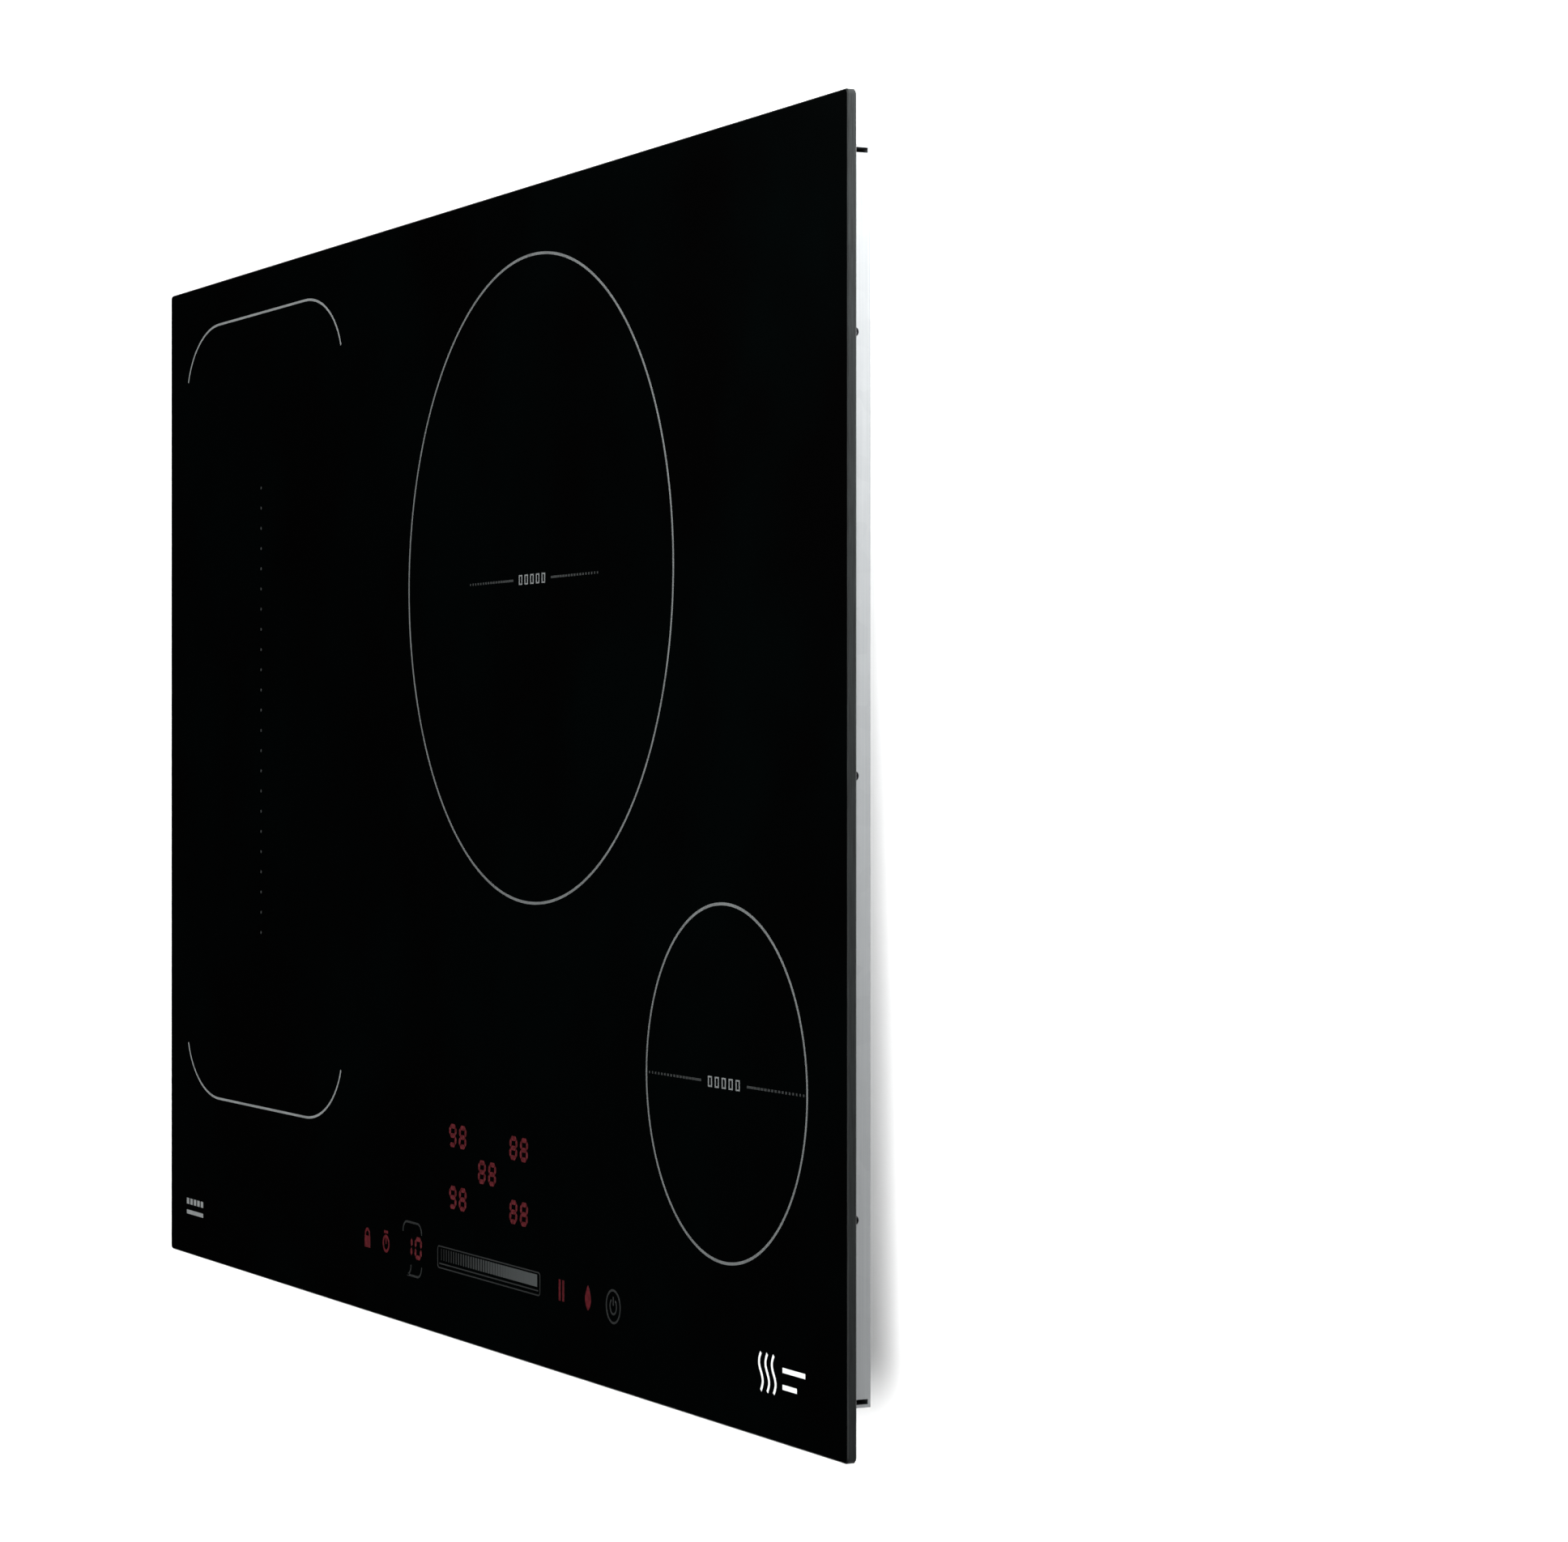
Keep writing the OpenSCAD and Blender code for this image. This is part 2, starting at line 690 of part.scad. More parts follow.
module coil_carrier(i) {
    color([0.9, 0.9, 0.86]) at_coil(i) difference() {
        union() {
            translate([0, 0, carrier_z]) cylinder(h = carrier_t, r = COIL_R[i]);
            for (k = [0 : 2]) rotate([0, 0, COIL_ARM[i] + 120 * k]) carrier_arm(i);
            translate([0, 0, carrier_z]) cylinder(h = carrier_t + winding_t - 1, r = sensor_r + 2);
        }
        translate([0, 0, carrier_z - 1]) cylinder(h = winding_t + 4, r = sensor_r);
        at_leads(i) translate([0, 0, carrier_z - 1]) cylinder(h = carrier_t + 2, r = lead_gap);
        for (k = [0 : ferrite_bars - 1])
            rotate([0, 0, (k + 0.5) * 360 / ferrite_bars])
                translate([(coil_eye_r + COIL_R[i]) / 2.4, 0, carrier_z - 1])
                    cylinder(h = carrier_t + 2, r = COIL_R[i] / 16);
    }
}

module coil_ferrites(i) {
    color([0.25, 0.25, 0.27]) at_coil(i) for (k = [0 : ferrite_bars - 1])
        rotate([0, 0, k * 360 / ferrite_bars])
            block([coil_eye_r + 2, -ferrite_w / 2, ferrite_z], [COIL_R[i] - 4, ferrite_w / 2, carrier_z]);
}

module coil_sensor(i) {
    color([0.85, 0.85, 0.83]) at_coil(i) translate([0, 0, carrier_z]) {
        cylinder(h = mica_z - carrier_z, r = sensor_r);
        translate([0, 0, -ferrite_t]) cylinder(h = ferrite_t, r = sensor_r + 2);
    }
}

module coil_springs(i) {
    r = pin_d / 2 + spring_clear;
    color([0.7, 0.7, 0.72]) at_coil(i) at_arms(i) translate([0, 0, tray_floor_z]) difference() {
        cylinder(h = carrier_z - tray_floor_z, r = r + spring_wall);
        translate([0, 0, -1]) cylinder(h = carrier_z - tray_floor_z + 2, r = r);
    }
}

// Leads that come down outside the boards run on to the board's front edge
function lead_route(i, s) =
    let (at = lead_start(i), x0 = at[0] + s * lead_gap / 2, x = lead_hole(i)[0] + s * lead_gap / 2,
         y = at[1], end_y = max(y, board_front + terminal_w / 2),
         end_z = board_top_z + terminal_h, low_z = end_z + 4, run_z = tray_floor_z + lead_d)
    concat(
        [[x0, y, winding_z]],
        x == x0 ? [] : [[x0, y, run_z], [x, y, run_z]],
        y == end_y ? [] : [[x, y, low_z], [x, end_y, low_z]],
        [[x, end_y, end_z]]
    );

module coil_leads() {
    color([0.85, 0.83, 0.78]) for (i = [0 : 3], s = [-1, 1]) wire(lead_route(i, s), lead_d);
}

// ---- power electronics ----

// Screw terminals that take the leads of the given coils
module lead_terminals(coils) {
    for (i = coils) {
        route = lead_route(i, 1);
        end = route[len(route) - 1];
        block([end[0] - lead_gap / 2 - terminal_w, end[1] - terminal_w / 2, board_top_z - eps],
              [end[0] - lead_gap / 2 + terminal_w, end[1] + terminal_w / 2, board_top_z + terminal_h]);
    }
}

module power_board(mirrored, coils) {
    color([0.1, 0.35, 0.2]) union() {
        mirror([mirrored, 0, 0]) difference() {
            block([board_x0, board_front, board_z], [board_x1, board_rear, board_top_z]);
            at_power_posts() translate([0, 0, board_z - 1]) cylinder(h = board_t + 2, d = screw_d);
        }
        lead_terminals(coils);
    }
}

sink_x0 = fan_x - sink_w / 2;
sink_y0 = board_front + 6;

module heatsink() {
    fins = floor(sink_w / 6);
    foot = 3.5;
    color([0.75, 0.76, 0.78]) translate([sink_x0, sink_y0, board_top_z]) {
        cube([sink_w, sink_l, foot]);
        for (k = [0 : fins - 1])
            translate([k * (sink_w - fin_t) / (fins - 1), 0, foot - eps])
                cube([fin_t, sink_l, sink_h - foot]);
    }
}

module power_transistors() {
    color([0.1, 0.1, 0.11]) both_sides() for (k = [0 : chips_per_sink - 1])
        translate([sink_x0 + sink_w, sink_y0 + 34 + k * chip_pitch, board_top_z])
            cube([chip_t, chip_w, chip_h]);
}

module rectifiers() {
    color([0.12, 0.12, 0.13]) both_sides()
        translate([sink_x0 + sink_w, sink_y0 + 4, board_top_z]) cube([chip_t, chip_w * 1.5, chip_h]);
}

module bus_capacitors() {
    color([0.75, 0.72, 0.6]) both_sides() for (k = [0 : cap_count - 1])
        translate([cap_x, cap_front + k * cap_pitch, board_top_z])
            cube([cap_w, cap_pitch - cap_gap, cap_h]);
}

module filter_board() {
    color([0.1, 0.35, 0.2]) difference() {
        block([filter_x0, filter_front, board_z], [board_x1, filter_rear, board_top_z]);
        at_filter_posts() translate([0, 0, board_z - 1]) cylinder(h = board_t + 2, d = screw_d);
    }
}

// Ring core lying flat, with two half windings round it
module filter_choke() {
    turn_t = 2.2;
    color([0.6, 0.33, 0.18])
        translate([filter_x0 + choke_r + 4, (filter_front + filter_rear) / 2 + 22, board_top_z]) {
            difference() {
                cylinder(h = choke_h, r = choke_r - 2);
                translate([0, 0, -1]) cylinder(h = choke_h + 2, r = choke_r - 9);
            }
            for (a = [30 : 24 : 150], b = [0, 180]) rotate([0, 0, a + b])
                translate([choke_r - 8, -turn_t / 2, 0]) cube([8, turn_t, choke_h + 0.8]);
        }
}

module board_screws() {
    module screw() {
        translate([0, 0, board_top_z]) cylinder(h = 2, r = screw_d);
        translate([0, 0, board_top_z - board_t - 4]) cylinder(h = board_t + 4, d = screw_d);
    }
    color([0.7, 0.7, 0.72]) {
        both_sides() at_power_posts() screw();
        at_filter_posts() screw();
    }
}

// ---- mains terminals ----

module terminal_block() {
    pitch = block_l / poles;
    color([0.85, 0.85, 0.83]) difference() {
        block([block_x - block_w / 2, inlet_y - block_l / 2, base_floor_z],
              [block_x + block_w / 2, inlet_y + block_l / 2, base_floor_z + block_h]);
        for (k = [0 : poles - 1]) translate([block_x, inlet_y - block_l / 2 + (k + 0.5) * pitch, 0]) {
            translate([0, 0, base_floor_z + 4]) cylinder(h = block_h, d = pitch * 0.7);
            translate([0, 0, base_floor_z + 5]) rotate([0, 90, 0])
                cylinder(h = block_w + 2, d = pitch * 0.5, center = true);
        }
    }
}

module terminal_screws() {
    pitch = block_l / poles;
    color([0.72, 0.66, 0.4]) for (k = [0 : poles - 1])
        translate([block_x, inlet_y - block_l / 2 + (k + 0.5) * pitch, base_floor_z + 8])
            difference() {
                cylinder(h = block_h - 9, d = pitch * 0.7);
                translate([-pitch, -0.4, block_h - 10.5]) cube([2 * pitch, 0.8, 3]);
            }
}

// Cap over the terminals, open towards the inlet
module terminal_cover() {
    x0 = block_x - block_w / 2 - cover_gap;
    y0 = max(inlet_y - block_l / 2 - cover_gap, in_front + 0.2);
    y1 = inlet_y + block_l / 2 + cover_gap;
    z1 = base_z + inlet_h + cover_gap;
    color([0.1, 0.1, 0.11]) difference() {
        block([x0 - cover_t, y0, base_floor_z], [in_x, y1 + cover_t, z1]);
        block([x0, y0 + cover_t, base_floor_z - 1], [in_x + 1, y1, z1 - cover_t]);
        for (k = [-1 : 1]) translate([x0 - cover_t - 1, inlet_y + k * 9 - wire_d, base_floor_z - 1])
            cube([cover_t + 2, 2 * wire_d, 9]);
        both_sides() at_base_screws() cylinder(h = tray_z, r = boss_r + 0.5);
    }
}

// Terminals to filter, filter to the right board, and the link between the two boards
module mains_wiring() {
    z = board_top_z + wire_d / 2;
    low = base_floor_z + 5;
    color([0.6, 0.25, 0.2]) {
        for (k = [-1 : 1]) {
            x = filter_x0 + 22 + k * 7;
            y = inlet_y + k * 9;
            wire([[block_x - block_w / 2, y, low], [x, y, low], [x, filter_front - 4, z],
                  [x, filter_front + 8, z]], wire_d);
            wire([[x, filter_rear - 8, z], [x, board_front + 8, z]], wire_d);
        }
        for (k = [0 : 1]) {
            y = board_front + 30 + 8 * k;
            wire([[-board_x0 - 8, y, z], [board_x0 + 8, y, z]], wire_d);
        }
    }
}

// ---- cooling fans ----

module casing_outline(grow) {
    circle(casing_r + grow, $fn = 96);
    translate([-outlet_w / 2 - grow, 0]) square([outlet_w + 2 * grow, outlet_end - fan_y]);
}

module fan_casing() {
    color([0.13, 0.13, 0.14]) at_fan() difference() {
        translate([0, 0, casing_z]) linear_extrude(casing_h) casing_outline(casing_t);
        translate([0, 0, casing_z + casing_t]) linear_extrude(casing_h - 2 * casing_t) {
            casing_outline(0);
            translate([-outlet_w / 2, 0]) square([outlet_w, outlet_end - fan_y + 1]);
        }
        translate([0, 0, casing_z - 1]) cylinder(h = casing_t + 2, r = fan_r - 5);
    }
}

// Wheel with its magnet cup open at the top, blades under a back plate, and the shaft
module fan_wheel() {
    color([0.3, 0.31, 0.33]) at_fan() translate([0, 0, wheel_z]) {
        h = wheel_top_z - wheel_z;
        difference() {
            cylinder(h = h, r = hub_r);
            translate([0, 0, hub_wall + 0.6]) cylinder(h = h, r = hub_r - hub_wall - magnet_t);
        }
        translate([0, 0, h - 1.5]) difference() {
            cylinder(h = 1.5, r = fan_r);
            translate([0, 0, -1]) cylinder(h = 4, r = hub_r - 1);
        }
        difference() {
            cylinder(h = 1.2, r = fan_r);
            translate([0, 0, -1]) cylinder(h = 4, r = fan_r - 4.5);
        }
        for (k = [0 : fan_blades - 1]) rotate([0, 0, k * 360 / fan_blades])
            translate([fan_r - 0.6, 0, 0]) rotate([0, 0, 180 - blade_lean])
                translate([0, 0, 0.4]) cube([blade_l, blade_t, h - 0.8]);
        translate([0, 0, 1]) cylinder(h = shaft_top_z - wheel_z - 1, d = shaft_d);
    }
}

module fan_stator() {
    top = casing_top_z - casing_t;
    core_z = bearing_z + 2;
    core_h = wheel_top_z - core_z - 3;
    bore_r = shaft_d / 2 + shaft_clearance;
    color([0.7, 0.45, 0.25]) at_fan() difference() {
        union() {
            translate([0, 0, bearing_z]) cylinder(h = top - bearing_z, r = bearing_r);
            translate([0, 0, core_z]) linear_extrude(core_h) difference() {
                circle(core_r);
                for (k = [0 : core_teeth - 1]) rotate([0, 0, k * 360 / core_teeth])
                    translate([bearing_r + 3, -core_slot_w / 2]) square([core_r, core_slot_w]);
            }
            translate([0, 0, bearing_top_z]) cylinder(h = top - bearing_top_z, r = hub_r - 1);
        }
        translate([0, 0, bearing_z - 1]) cylinder(h = bearing_top_z - bearing_z + 1, r = bore_r);
    }
}

// ---- control module ----

function ui_point(p) = [ui_x + p[0], p[1] - glass_d / 2];

module ui_carrier() {
    color([0.16, 0.16, 0.17]) difference() {
        union() {
            block([ui_x - ui_w / 2, -ui_front, ui_board_z - 2],
                  [ui_x + ui_w / 2, ui_d - ui_front, ui_board_z]);
            for (sx = [-1, 0, 1], sy = [0, 1])
                translate([ui_x + sx * (ui_w / 2 - 8), -ui_front + 8 + sy * (ui_d - 16), tray_floor_z])
                    cylinder(h = ui_board_z - tray_floor_z, r = 5);
            for (sx = [-1, 1]) translate([ui_x + sx * (ui_w / 2 - ui_wall / 2), ui_d / 2 - ui_front, 0])
                block([-ui_wall / 2, -ui_d / 2, tray_floor_z], [ui_wall / 2, ui_d / 2, ui_board_top_z]);
        }
        for (k = [-3 : 3]) translate([ui_x + k * 38, ui_d / 2 - ui_front, ui_board_z - 3])
            block([-15, -ui_d / 2 + 18, 0], [15, ui_d / 2 - 18, 4]);
    }
}

module ui_board() {
    margin = ui_wall + 0.2;
    color([0.08, 0.3, 0.18])
        block([ui_x - ui_w / 2 + margin, -ui_front, ui_board_z],
              [ui_x + ui_w / 2 - margin, ui_d - ui_front, ui_board_top_z]);
}

// Two-digit displays: a housing with two wells for the digits
module ui_displays() {
    color([0.5, 0.05, 0.05]) for (p = displays) {
        at = ui_point(p);
        translate([at[0], at[1], ui_board_top_z]) difference() {
            block([-display_w / 2, -display_d / 2, 0],
                  [display_w / 2, display_d / 2, glass_z - ui_board_top_z]);
            for (s = [-1, 1]) translate([s * display_w / 4, 0, glass_z - ui_board_top_z - 0.6])
                block([-display_w / 4 + 1, -display_d / 2 + 1, 0],
                      [display_w / 4 - 1, display_d / 2 - 1, 2]);
        }
    }
}

module ui_touch_pads() {
    step = (slider_to - slider_from) / (slider_pads - 1);
    xs = concat(touch_xs, [for (k = [0 : slider_pads - 1]) slider_from + k * step]);
    color([0.3, 0.3, 0.3]) for (x = xs) {
        at = ui_point([x, touch_from_front]);
        if (abs(x - displays[5][0]) > display_w / 2 + pad_r)
            translate([at[0], at[1], ui_board_top_z]) cylinder(h = glass_z - ui_board_top_z, r = pad_r);
    }
}

// Flat cable from the control board through the tray to the right-hand power board
module ui_ribbon() {
    rear = ui_d - ui_front;
    w = ribbon_w / 2;
    t = ribbon_t;
    z0 = tray_floor_z + 1;
    y1 = ribbon_slot_y;
    x1 = board_x0 + 22 + w;
    color([0.6, 0.6, 0.62]) {
        block([-w, rear - 8, ui_board_z - 2 - t], [w, rear + 4, ui_board_z - 2]);
        block([-w, rear + 4 - t, z0], [w, rear + 4, ui_board_z - 2]);
        block([-w, rear + 4 - t, z0], [w, y1, z0 + t]);
        block([-w, y1 - t, board_top_z + 6], [w, y1, z0 + t]);
        block([-w, y1 - t, board_top_z + 6], [x1 + w, y1 + ribbon_w, board_top_z + 6 + t]);
        block([x1 - w, y1, board_top_z + 6], [x1 + w, board_front + 6, board_top_z + 6 + t]);
        block([x1 - w, board_front + 2, board_top_z], [x1 + w, board_front + 6, board_top_z + 6 + t]);
    }
}

// ---- assembly ----

glass_panel();
seal(-1);  // seal_front
seal(1);  // seal_rear
mirror([1, 0, 0]) rail();  // rail_left
rail();  // rail_right
rail_screws();
support_tray();
base_housing();
base_screws();
for (i = [0 : 3]) {
    name = str("coil_", COILS[i], "_");
    coil_mica(i);
    coil_winding(i);
    coil_carrier(i);
    coil_ferrites(i);
    coil_sensor(i);
    coil_springs(i);
}
coil_leads();
for (side = SIDES) {
    m = side == "left" ? 1 : 0;
    power_board(m, m == 1 ? [0, 1] : [2, 3]);
    mirror([m, 0, 0]) heatsink();
    mirror([m, 0, 0]) fan_casing();
    mirror([m, 0, 0]) fan_wheel();
    mirror([m, 0, 0]) fan_stator();
}
power_transistors();
rectifiers();
bus_capacitors();
filter_board();
filter_choke();
board_screws();
terminal_block();
terminal_screws();
terminal_cover();
mains_wiring();
ui_carrier();
ui_board();
ui_displays();
ui_touch_pads();
ui_ribbon();
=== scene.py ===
import math

import bmesh
import bpy
import numpy as np
from bpy.props import FloatProperty, FloatVectorProperty, IntProperty, PointerProperty
from mathutils import Matrix, Vector


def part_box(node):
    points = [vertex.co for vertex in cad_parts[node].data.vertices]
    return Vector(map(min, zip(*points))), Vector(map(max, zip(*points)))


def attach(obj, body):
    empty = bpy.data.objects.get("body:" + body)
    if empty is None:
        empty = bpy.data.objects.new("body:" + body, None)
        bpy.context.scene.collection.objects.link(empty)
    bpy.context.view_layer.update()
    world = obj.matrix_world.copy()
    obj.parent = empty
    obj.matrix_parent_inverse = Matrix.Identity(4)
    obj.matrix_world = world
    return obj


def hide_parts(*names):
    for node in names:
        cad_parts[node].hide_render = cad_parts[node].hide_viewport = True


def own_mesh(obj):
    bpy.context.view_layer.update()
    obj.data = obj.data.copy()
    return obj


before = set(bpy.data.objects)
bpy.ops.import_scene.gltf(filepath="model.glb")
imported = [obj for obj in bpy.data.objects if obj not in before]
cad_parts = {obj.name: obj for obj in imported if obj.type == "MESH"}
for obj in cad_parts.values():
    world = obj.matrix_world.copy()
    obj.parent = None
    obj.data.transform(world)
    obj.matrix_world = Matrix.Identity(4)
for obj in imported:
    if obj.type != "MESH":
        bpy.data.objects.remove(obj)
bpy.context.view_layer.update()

bl_info = {
    "name": "Induction cooktop",
    "version": (1, 0, 0),
    "blender": (4, 5, 0),
    "location": "3D View > Sidebar > Cooktop",
    "description": "Dresses the cooktop's frame: glass, printed decor, metal, housing, coils and stage",
    "category": "Object",
}

MM = 0.001
GLASS_LOW, GLASS_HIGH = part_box("glass_panel")
TOP = GLASS_HIGH[2]
COILS = ("flex_rear", "flex_front", "large", "small")
HOB = "hob"


# ---- colours, nodes and materials ----

def srgb(code, alpha=1.0):
    """The linear colour of a hex sRGB code: each channel c becomes c/12.92 or ((c+0.055)/1.055)^2.4."""
    channels = [int(code[i:i + 2], 16) / 255 for i in (1, 3, 5)]
    linear = [c / 12.92 if c <= 0.04045 else ((c + 0.055) / 1.055) ** 2.4 for c in channels]
    return (*linear, alpha)


def add_node(tree, kind, inputs=(), **settings):
    """Adds a node, sets its properties, and sets or links each input that is named or numbered."""
    made = tree.nodes.new(kind)
    for key, value in settings.items():
        setattr(made, key, value)
    for key, value in dict(inputs).items():
        if isinstance(value, bpy.types.NodeSocket):
            tree.links.new(value, made.inputs[key])
        else:
            made.inputs[key].default_value = value
    return made


def new_material(name, values):
    """A material and its Principled shader, with the plain values set on the shader's own sockets."""
    made = bpy.data.materials.new(name)
    made.use_nodes = True
    shader = made.node_tree.nodes["Principled BSDF"]
    for key, value in values.items():
        shader.inputs[key].default_value = value
    return made, made.node_tree, shader


def millimetres(tree, stretch=(1, 1, 1), turn=(0, 0, 0)):
    """Object coordinates counted in millimetres, stretched and turned for a pattern."""
    place = add_node(tree, "ShaderNodeTexCoord").outputs["Object"]
    scale = tuple(s / MM for s in stretch)
    return add_node(tree, "ShaderNodeMapping", {"Vector": place, "Rotation": turn, "Scale": scale}).outputs[0]


def ramp(tree, factor, low, high, first=0.35, last=0.65):
    """A colour that goes from low to high as the factor goes from first to last."""
    made = add_node(tree, "ShaderNodeValToRGB", {"Fac": factor})
    made.color_ramp.elements[0].position = first
    made.color_ramp.elements[0].color = low
    made.color_ramp.elements[1].position = last
    made.color_ramp.elements[1].color = high
    return made.outputs["Color"]


def spread(tree, factor, low, high):
    """A number that goes from low to high as the factor goes from 0.3 to 0.7."""
    made = add_node(tree, "ShaderNodeMapRange", {"Value": factor, "From Min": 0.3, "From Max": 0.7,
                                                 "To Min": low, "To Max": high})
    return made.outputs["Result"]


def bump(tree, height, depth_mm, strength=1.0):
    return add_node(tree, "ShaderNodeBump", {"Height": height, "Distance": depth_mm * MM,
                                             "Strength": strength}).outputs["Normal"]


def noise(tree, place, size_mm, detail=2.0, rough=0.5):
    return add_node(tree, "ShaderNodeTexNoise", {"Vector": place, "Scale": 1 / size_mm, "Detail": detail,
                                                 "Roughness": rough}).outputs["Fac"]


def polished_glass_ceramic():
    """Black lithium-aluminium-silicate glass ceramic, rolled and polished: a deep black mirror, faintly wiped."""
    made, tree, shader = new_material("polished_glass_ceramic", {"IOR": 1.53, "Specular IOR Level": 0.5})
    place = millimetres(tree)
    wiped = noise(tree, millimetres(tree, (1, 0.25, 1), (0, 0, 0.5)), 38, 3)
    tree.links.new(spread(tree, wiped, 0.025, 0.06), shader.inputs["Roughness"])
    depth = noise(tree, place, 90, 2)
    tree.links.new(ramp(tree, depth, srgb("#010101"), srgb("#010202")), shader.inputs["Base Color"])
    return made


def ground_glass_edge():
    """The panel's cut edge, ground with a fine wheel: dull dark grey with lines along the cut."""
    made, tree, shader = new_material("ground_glass_edge", {"IOR": 1.53, "Specular IOR Level": 0.05})
    lines = noise(tree, millimetres(tree, (0.08, 0.08, 3)), 0.9, 3)
    grain = noise(tree, millimetres(tree), 0.5, 2)
    tree.links.new(ramp(tree, lines, srgb("#080909"), srgb("#0f1111")), shader.inputs["Base Color"])
    tree.links.new(spread(tree, grain, 0.32, 0.5), shader.inputs["Roughness"])
    tree.links.new(bump(tree, lines, 0.03, 0.5), shader.inputs["Normal"])
    return made


def screen_print(name, low, high, gloss=0.42):
    """Ceramic enamel, screen-printed and fired on: even, slightly grainy, and duller than the glass.
    The real mesh leaves dots every 0.1 mm, drawn here at 0.5 mm so that they show."""
    made, tree, shader = new_material(name, {"IOR": 1.5})
    dots = add_node(tree, "ShaderNodeTexVoronoi", {"Vector": millimetres(tree), "Scale": 2.0}).outputs["Distance"]
    cloud = noise(tree, millimetres(tree), 14, 2)
    mix = add_node(tree, "ShaderNodeMath", {0: dots, 1: cloud}, operation="MULTIPLY").outputs[0]
    tree.links.new(ramp(tree, mix, srgb(high), srgb(low), 0.1, 0.5), shader.inputs["Base Color"])
    tree.links.new(spread(tree, cloud, gloss - 0.08, gloss + 0.08), shader.inputs["Roughness"])
    tree.links.new(bump(tree, dots, 0.01, 0.3), shader.inputs["Normal"])
    return made


def fading_print(x0, x1):
    """The slider's enamel: from nearly black at its left end x0 to mid grey at its right end x1."""
    made, tree, shader = new_material("fading_enamel", {"IOR": 1.5, "Roughness": 0.42})
    place = add_node(tree, "ShaderNodeTexCoord").outputs["Object"]
    across = add_node(tree, "ShaderNodeSeparateXYZ", {"Vector": place}).outputs["X"]
    share = add_node(tree, "ShaderNodeMapRange", {"Value": across, "From Min": x0, "From Max": x1}).outputs[0]
    speck = noise(tree, millimetres(tree), 0.8, 2)
    mixed = add_node(tree, "ShaderNodeMath", {0: speck, 1: 0.12, 2: share}, operation="MULTIPLY_ADD").outputs[0]
    tree.links.new(ramp(tree, mixed, srgb("#0c0e0e"), srgb("#343737"), 0.05, 1.0), shader.inputs["Base Color"])
    tree.links.new(bump(tree, speck, 0.01, 0.3), shader.inputs["Normal"])
    return made


def led_segment(name, low, high, strength):
    """Red light-emitting segments seen through the dark glass: dim, with a hotter middle to each chip."""
    made, tree, shader = new_material(name, {"Base Color": srgb("#140203"), "Roughness": 0.3,
                                             "Emission Strength": strength})
    chips = add_node(tree, "ShaderNodeTexVoronoi", {"Vector": millimetres(tree), "Scale": 0.5,
                                                    "Randomness": 0.6}).outputs["Distance"]
    tree.links.new(ramp(tree, chips, srgb(high), srgb(low), 0.1, 0.8), shader.inputs["Emission Color"])
    return made


def zinc_sheet():
    """Cold-rolled steel, hot-dip galvanised: pale grey, with faint spangle and rolling lines along its length."""
    made, tree, shader = new_material("zinc_sheet", {"Metallic": 1.0})
    spangle = add_node(tree, "ShaderNodeTexVoronoi", {"Vector": millimetres(tree), "Scale": 1 / 9}).outputs["Color"]
    shade = add_node(tree, "ShaderNodeSeparateColor", {"Color": spangle}).outputs["Red"]
    rolled = noise(tree, millimetres(tree, (0.02, 0.02, 2.5)), 1.6, 3)
    half = add_node(tree, "ShaderNodeMath", {0: shade, 1: 0.15, 2: rolled}, operation="MULTIPLY_ADD").outputs[0]
    tree.links.new(ramp(tree, half, srgb("#686a6b"), srgb("#737576"), 0.35, 0.95), shader.inputs["Base Color"])
    tree.links.new(spread(tree, rolled, 0.46, 0.52), shader.inputs["Roughness"])
    tree.links.new(bump(tree, rolled, 0.01, 0.4), shader.inputs["Normal"])
    return made


def moulded_plastic(name, low, high, rough=0.5, grain_mm=0.45, depth=0.05):
    """Injection-moulded plastic from a spark-eroded tool: an even fine grain with a soft sheen.
    The real grain is about 0.1 mm, drawn coarser so that it shows."""
    made, tree, shader = new_material(name, {"IOR": 1.5})
    place = millimetres(tree)
    grain = noise(tree, place, grain_mm, 2)
    flow = noise(tree, millimetres(tree, (0.3, 1, 1)), 45, 3)
    tree.links.new(ramp(tree, flow, srgb(low), srgb(high)), shader.inputs["Base Color"])
    tree.links.new(spread(tree, flow, rough - 0.06, rough + 0.06), shader.inputs["Roughness"])
    tree.links.new(bump(tree, grain, depth, 0.5), shader.inputs["Normal"])
    return made


def powder_coat():
    """Black polyester powder baked on steel: semi-matt, with the slight orange peel of the melt."""
    made, tree, shader = new_material("powder_coat", {"IOR": 1.5})
    peel = noise(tree, millimetres(tree), 1.4, 2)
    tree.links.new(ramp(tree, peel, srgb("#141416"), srgb("#1d1d20")), shader.inputs["Base Color"])
    tree.links.new(spread(tree, peel, 0.42, 0.55), shader.inputs["Roughness"])
    tree.links.new(bump(tree, peel, 0.05, 0.5), shader.inputs["Normal"])
    return made


def plated_steel(name, low, high, rough):
    """Turned and plated screw or spring steel: metal with fine turning marks and stained patches."""
    made, tree, shader = new_material(name, {"Metallic": 1.0})
    stain = noise(tree, millimetres(tree), 1.2, 3)
    turned = noise(tree, millimetres(tree, (1, 1, 6)), 0.8, 2)
    tree.links.new(ramp(tree, stain, srgb(low), srgb(high)), shader.inputs["Base Color"])
    tree.links.new(spread(tree, stain, rough - 0.06, rough + 0.08), shader.inputs["Roughness"])
    tree.links.new(bump(tree, turned, 0.02, 0.4), shader.inputs["Normal"])
    return made


